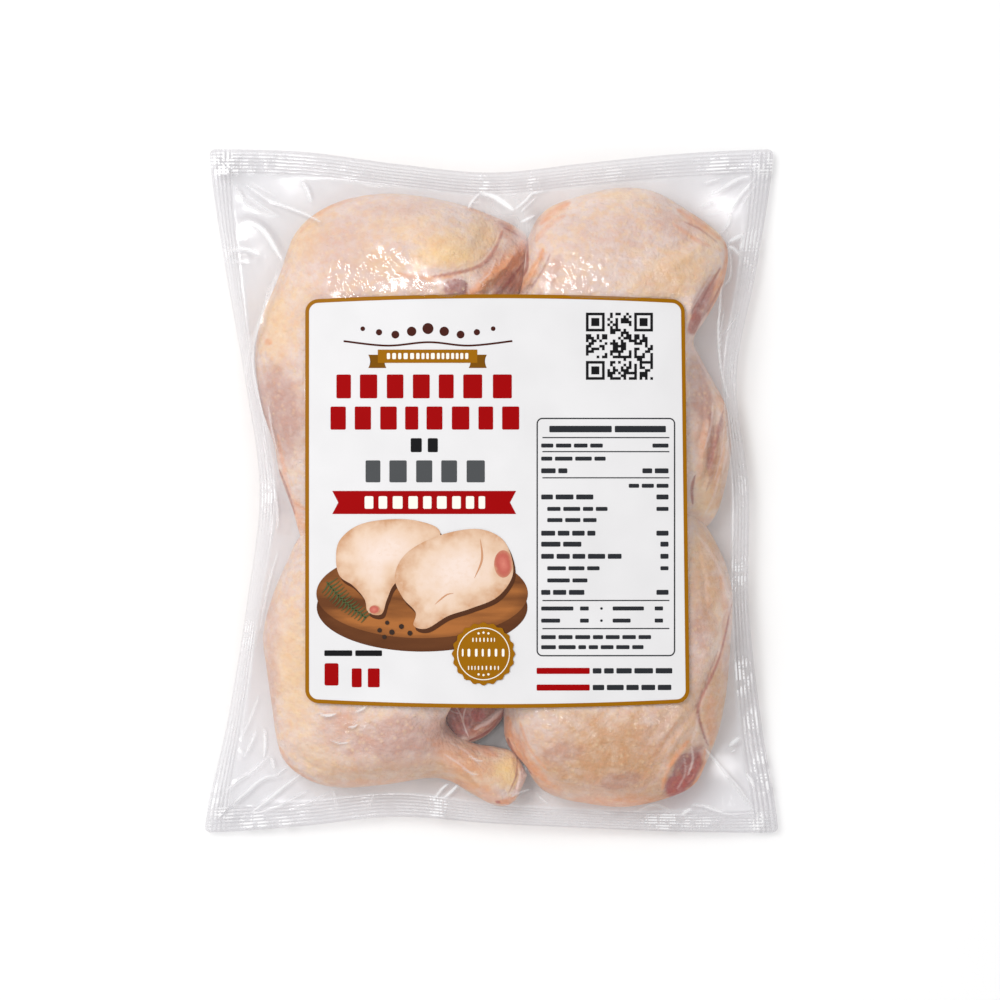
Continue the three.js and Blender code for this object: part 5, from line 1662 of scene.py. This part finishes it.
        folds.made(paper_material("fold print", linear(206, 152, 116)))
        sprig = Print("print_sprig", 8 * lift)
        stem = [(-87, -48), (-78, -58), (-66, -67)]
        sprig.stroke(stem, 0.8)
        for t in np.linspace(0.05, 0.97, 14):
            x, y = even_path(stem, np.array([t]))[0]
            for turn in (0.6, -2.2):
                reach = 6.2 * (1 - 0.4 * t)
                tip = (x + reach * math.cos(turn), y + reach * math.sin(turn))
                leaf = [(x, y), ((x + tip[0]) / 2 + 0.4, (y + tip[1]) / 2), tip]
                sprig.stroke(leaf, np.linspace(1.1, 0.2, STROKE_POINTS))
        sprig.made(paper_material("sprig print", colour("leaf")))
        dots = Print("print_dots", 8 * lift)
        for x, y, radius in ((-59, -73.5, 1.2), (-55, -69.5, 1.1), (-52.5, -74.5, 1.4), (-47.5, -71.5, 1.3),
                             (-43, -75, 1.3), (-56.5, -77, 1.1)):
            dots.disc(x, y, radius)
        dots.made(paper_material("dot print", linear(58, 44, 38)))

    def badge(self, lift):
        """A gold disc with a waved edge, a thin light ring and three bars with small dots."""
        x, y = -4.2, -85.9
        gold = Print("print_badge", 9 * lift)
        gold.disc(x, y, 16.2, lobes=20, depth=0.035)
        gold.made(paper_material("badge ink", colour("gold")))
        light = Print("print_badge_lines", 10 * lift)
        light.disc(x, y, 13.9, inner=0.965)
        light.letters(x, y + 0.6, 24.5, 4.2, 7, 150, fill=0.36)
        light.letters(x, y + 7.4, 13, 2.2, 7, 151, fill=0.34)
        light.letters(x, y - 7.4, 17.5, 2.2, 9, 152, fill=0.34)
        for k in (-1, 0, 1):
            light.disc(x + 2.6 * k, y + 11.2 - 0.4 * abs(k), 0.6)
            light.disc(x + 2.6 * k, y - 11.2 + 0.4 * abs(k), 0.6)
        light.made(paper_material("badge lines", colour("white")))


class PACK_OT_stage(bpy.types.Operator):
    """Makes the white table, the studio lights and the camera that looks straight down"""

    bl_idname = "pack.stage"
    bl_label = "Stage"

    def execute(self, context):
        scene = context.scene
        x, y = np.meshgrid(*[np.linspace(-TABLE_REACH, TABLE_REACH, 3)] * 2)
        corners = np.stack([x, y, 0 * x], -1).reshape(-1, 3)
        floor = mesh_object("table", corners, [grid_faces(3, 3)], smooth=False)
        floor.data.materials.append(floor_material(colour("table")))

        world = bpy.data.worlds.new("studio")
        world.use_nodes = True
        back = world.node_tree.nodes["Background"]
        back.inputs["Color"].default_value = (1.0, 1.0, 1.0, 1.0)
        back.inputs["Strength"].default_value = WORLD_LIGHT
        scene.world = world

        self.softbox("key", *KEY_LAMP).visible_glossy = False
        self.softbox("fill", *FILL_LAMP).visible_glossy = False
        for number, (x_place, y_place, *lamp) in enumerate(GLINTS):
            self.softbox(f"glint_{number}", (x_place, y_place, GLINT_Z), *lamp).visible_diffuse = False

        sizes = scene.pack_sizes
        camera_data = bpy.data.cameras.new("camera")
        camera_data.sensor_width = SENSOR_WIDTH
        camera_data.lens = camera_data.sensor_width * sizes.camera_height / sizes.view_width
        camera_data.clip_end = 100
        camera = bpy.data.objects.new("camera", camera_data)
        camera.location = (*CAMERA_PLACE, sizes.camera_height)
        scene.collection.objects.link(camera)
        scene.camera = camera
        scene.view_settings.view_transform = "Standard"
        return {"FINISHED"}

    def softbox(self, name, place, size, power):
        """A square area light that faces the bag."""
        lamp = bpy.data.lights.new(name, "AREA")
        lamp.size = size
        lamp.energy = power
        holder = bpy.data.objects.new(name, lamp)
        holder.location = place
        holder.rotation_euler = (-Vector(place)).to_track_quat("-Z", "Y").to_euler()
        bpy.context.scene.collection.objects.link(holder)
        return holder


OPERATORS = (PACK_OT_quarters, PACK_OT_film, PACK_OT_label, PACK_OT_print, PACK_OT_stage)


class PACK_PT_panel(bpy.types.Panel):
    """Lists the pieces of the bag and its sizes and colours"""

    bl_idname = "PACK_PT_panel"
    bl_label = "Chicken bag"
    bl_space_type = "VIEW_3D"
    bl_region_type = "UI"
    bl_category = "Chicken bag"

    def draw(self, context):
        for operator in OPERATORS:
            self.layout.operator(operator.bl_idname)
        for group in (context.scene.pack_sizes, context.scene.pack_colours):
            for name in type(group).__annotations__:
                self.layout.prop(group, name)


CLASSES = (PackSizes, PackColours, *OPERATORS, PACK_PT_panel)


def register():
    """Registers the add-on's classes and its sizes and colours."""
    for kind in CLASSES:
        bpy.utils.register_class(kind)
    bpy.types.Scene.pack_sizes = bpy.props.PointerProperty(type=PackSizes)
    bpy.types.Scene.pack_colours = bpy.props.PointerProperty(type=PackColours)


def unregister():
    """Takes off what register added, in the other order."""
    del bpy.types.Scene.pack_colours
    del bpy.types.Scene.pack_sizes
    for kind in reversed(CLASSES):
        bpy.utils.unregister_class(kind)


def plain(bounds):
    """A box as plain lists of numbers."""
    return [[float(v) for v in corner] for corner in bounds]


def main():
    """Builds each piece in turn."""
    register()
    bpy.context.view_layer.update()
    bpy.ops.pack.quarters()
    bpy.ops.pack.film()
    bpy.ops.pack.label()
    bpy.ops.pack.print()
    bpy.ops.pack.stage()


if __name__ == "__main__":
    main()
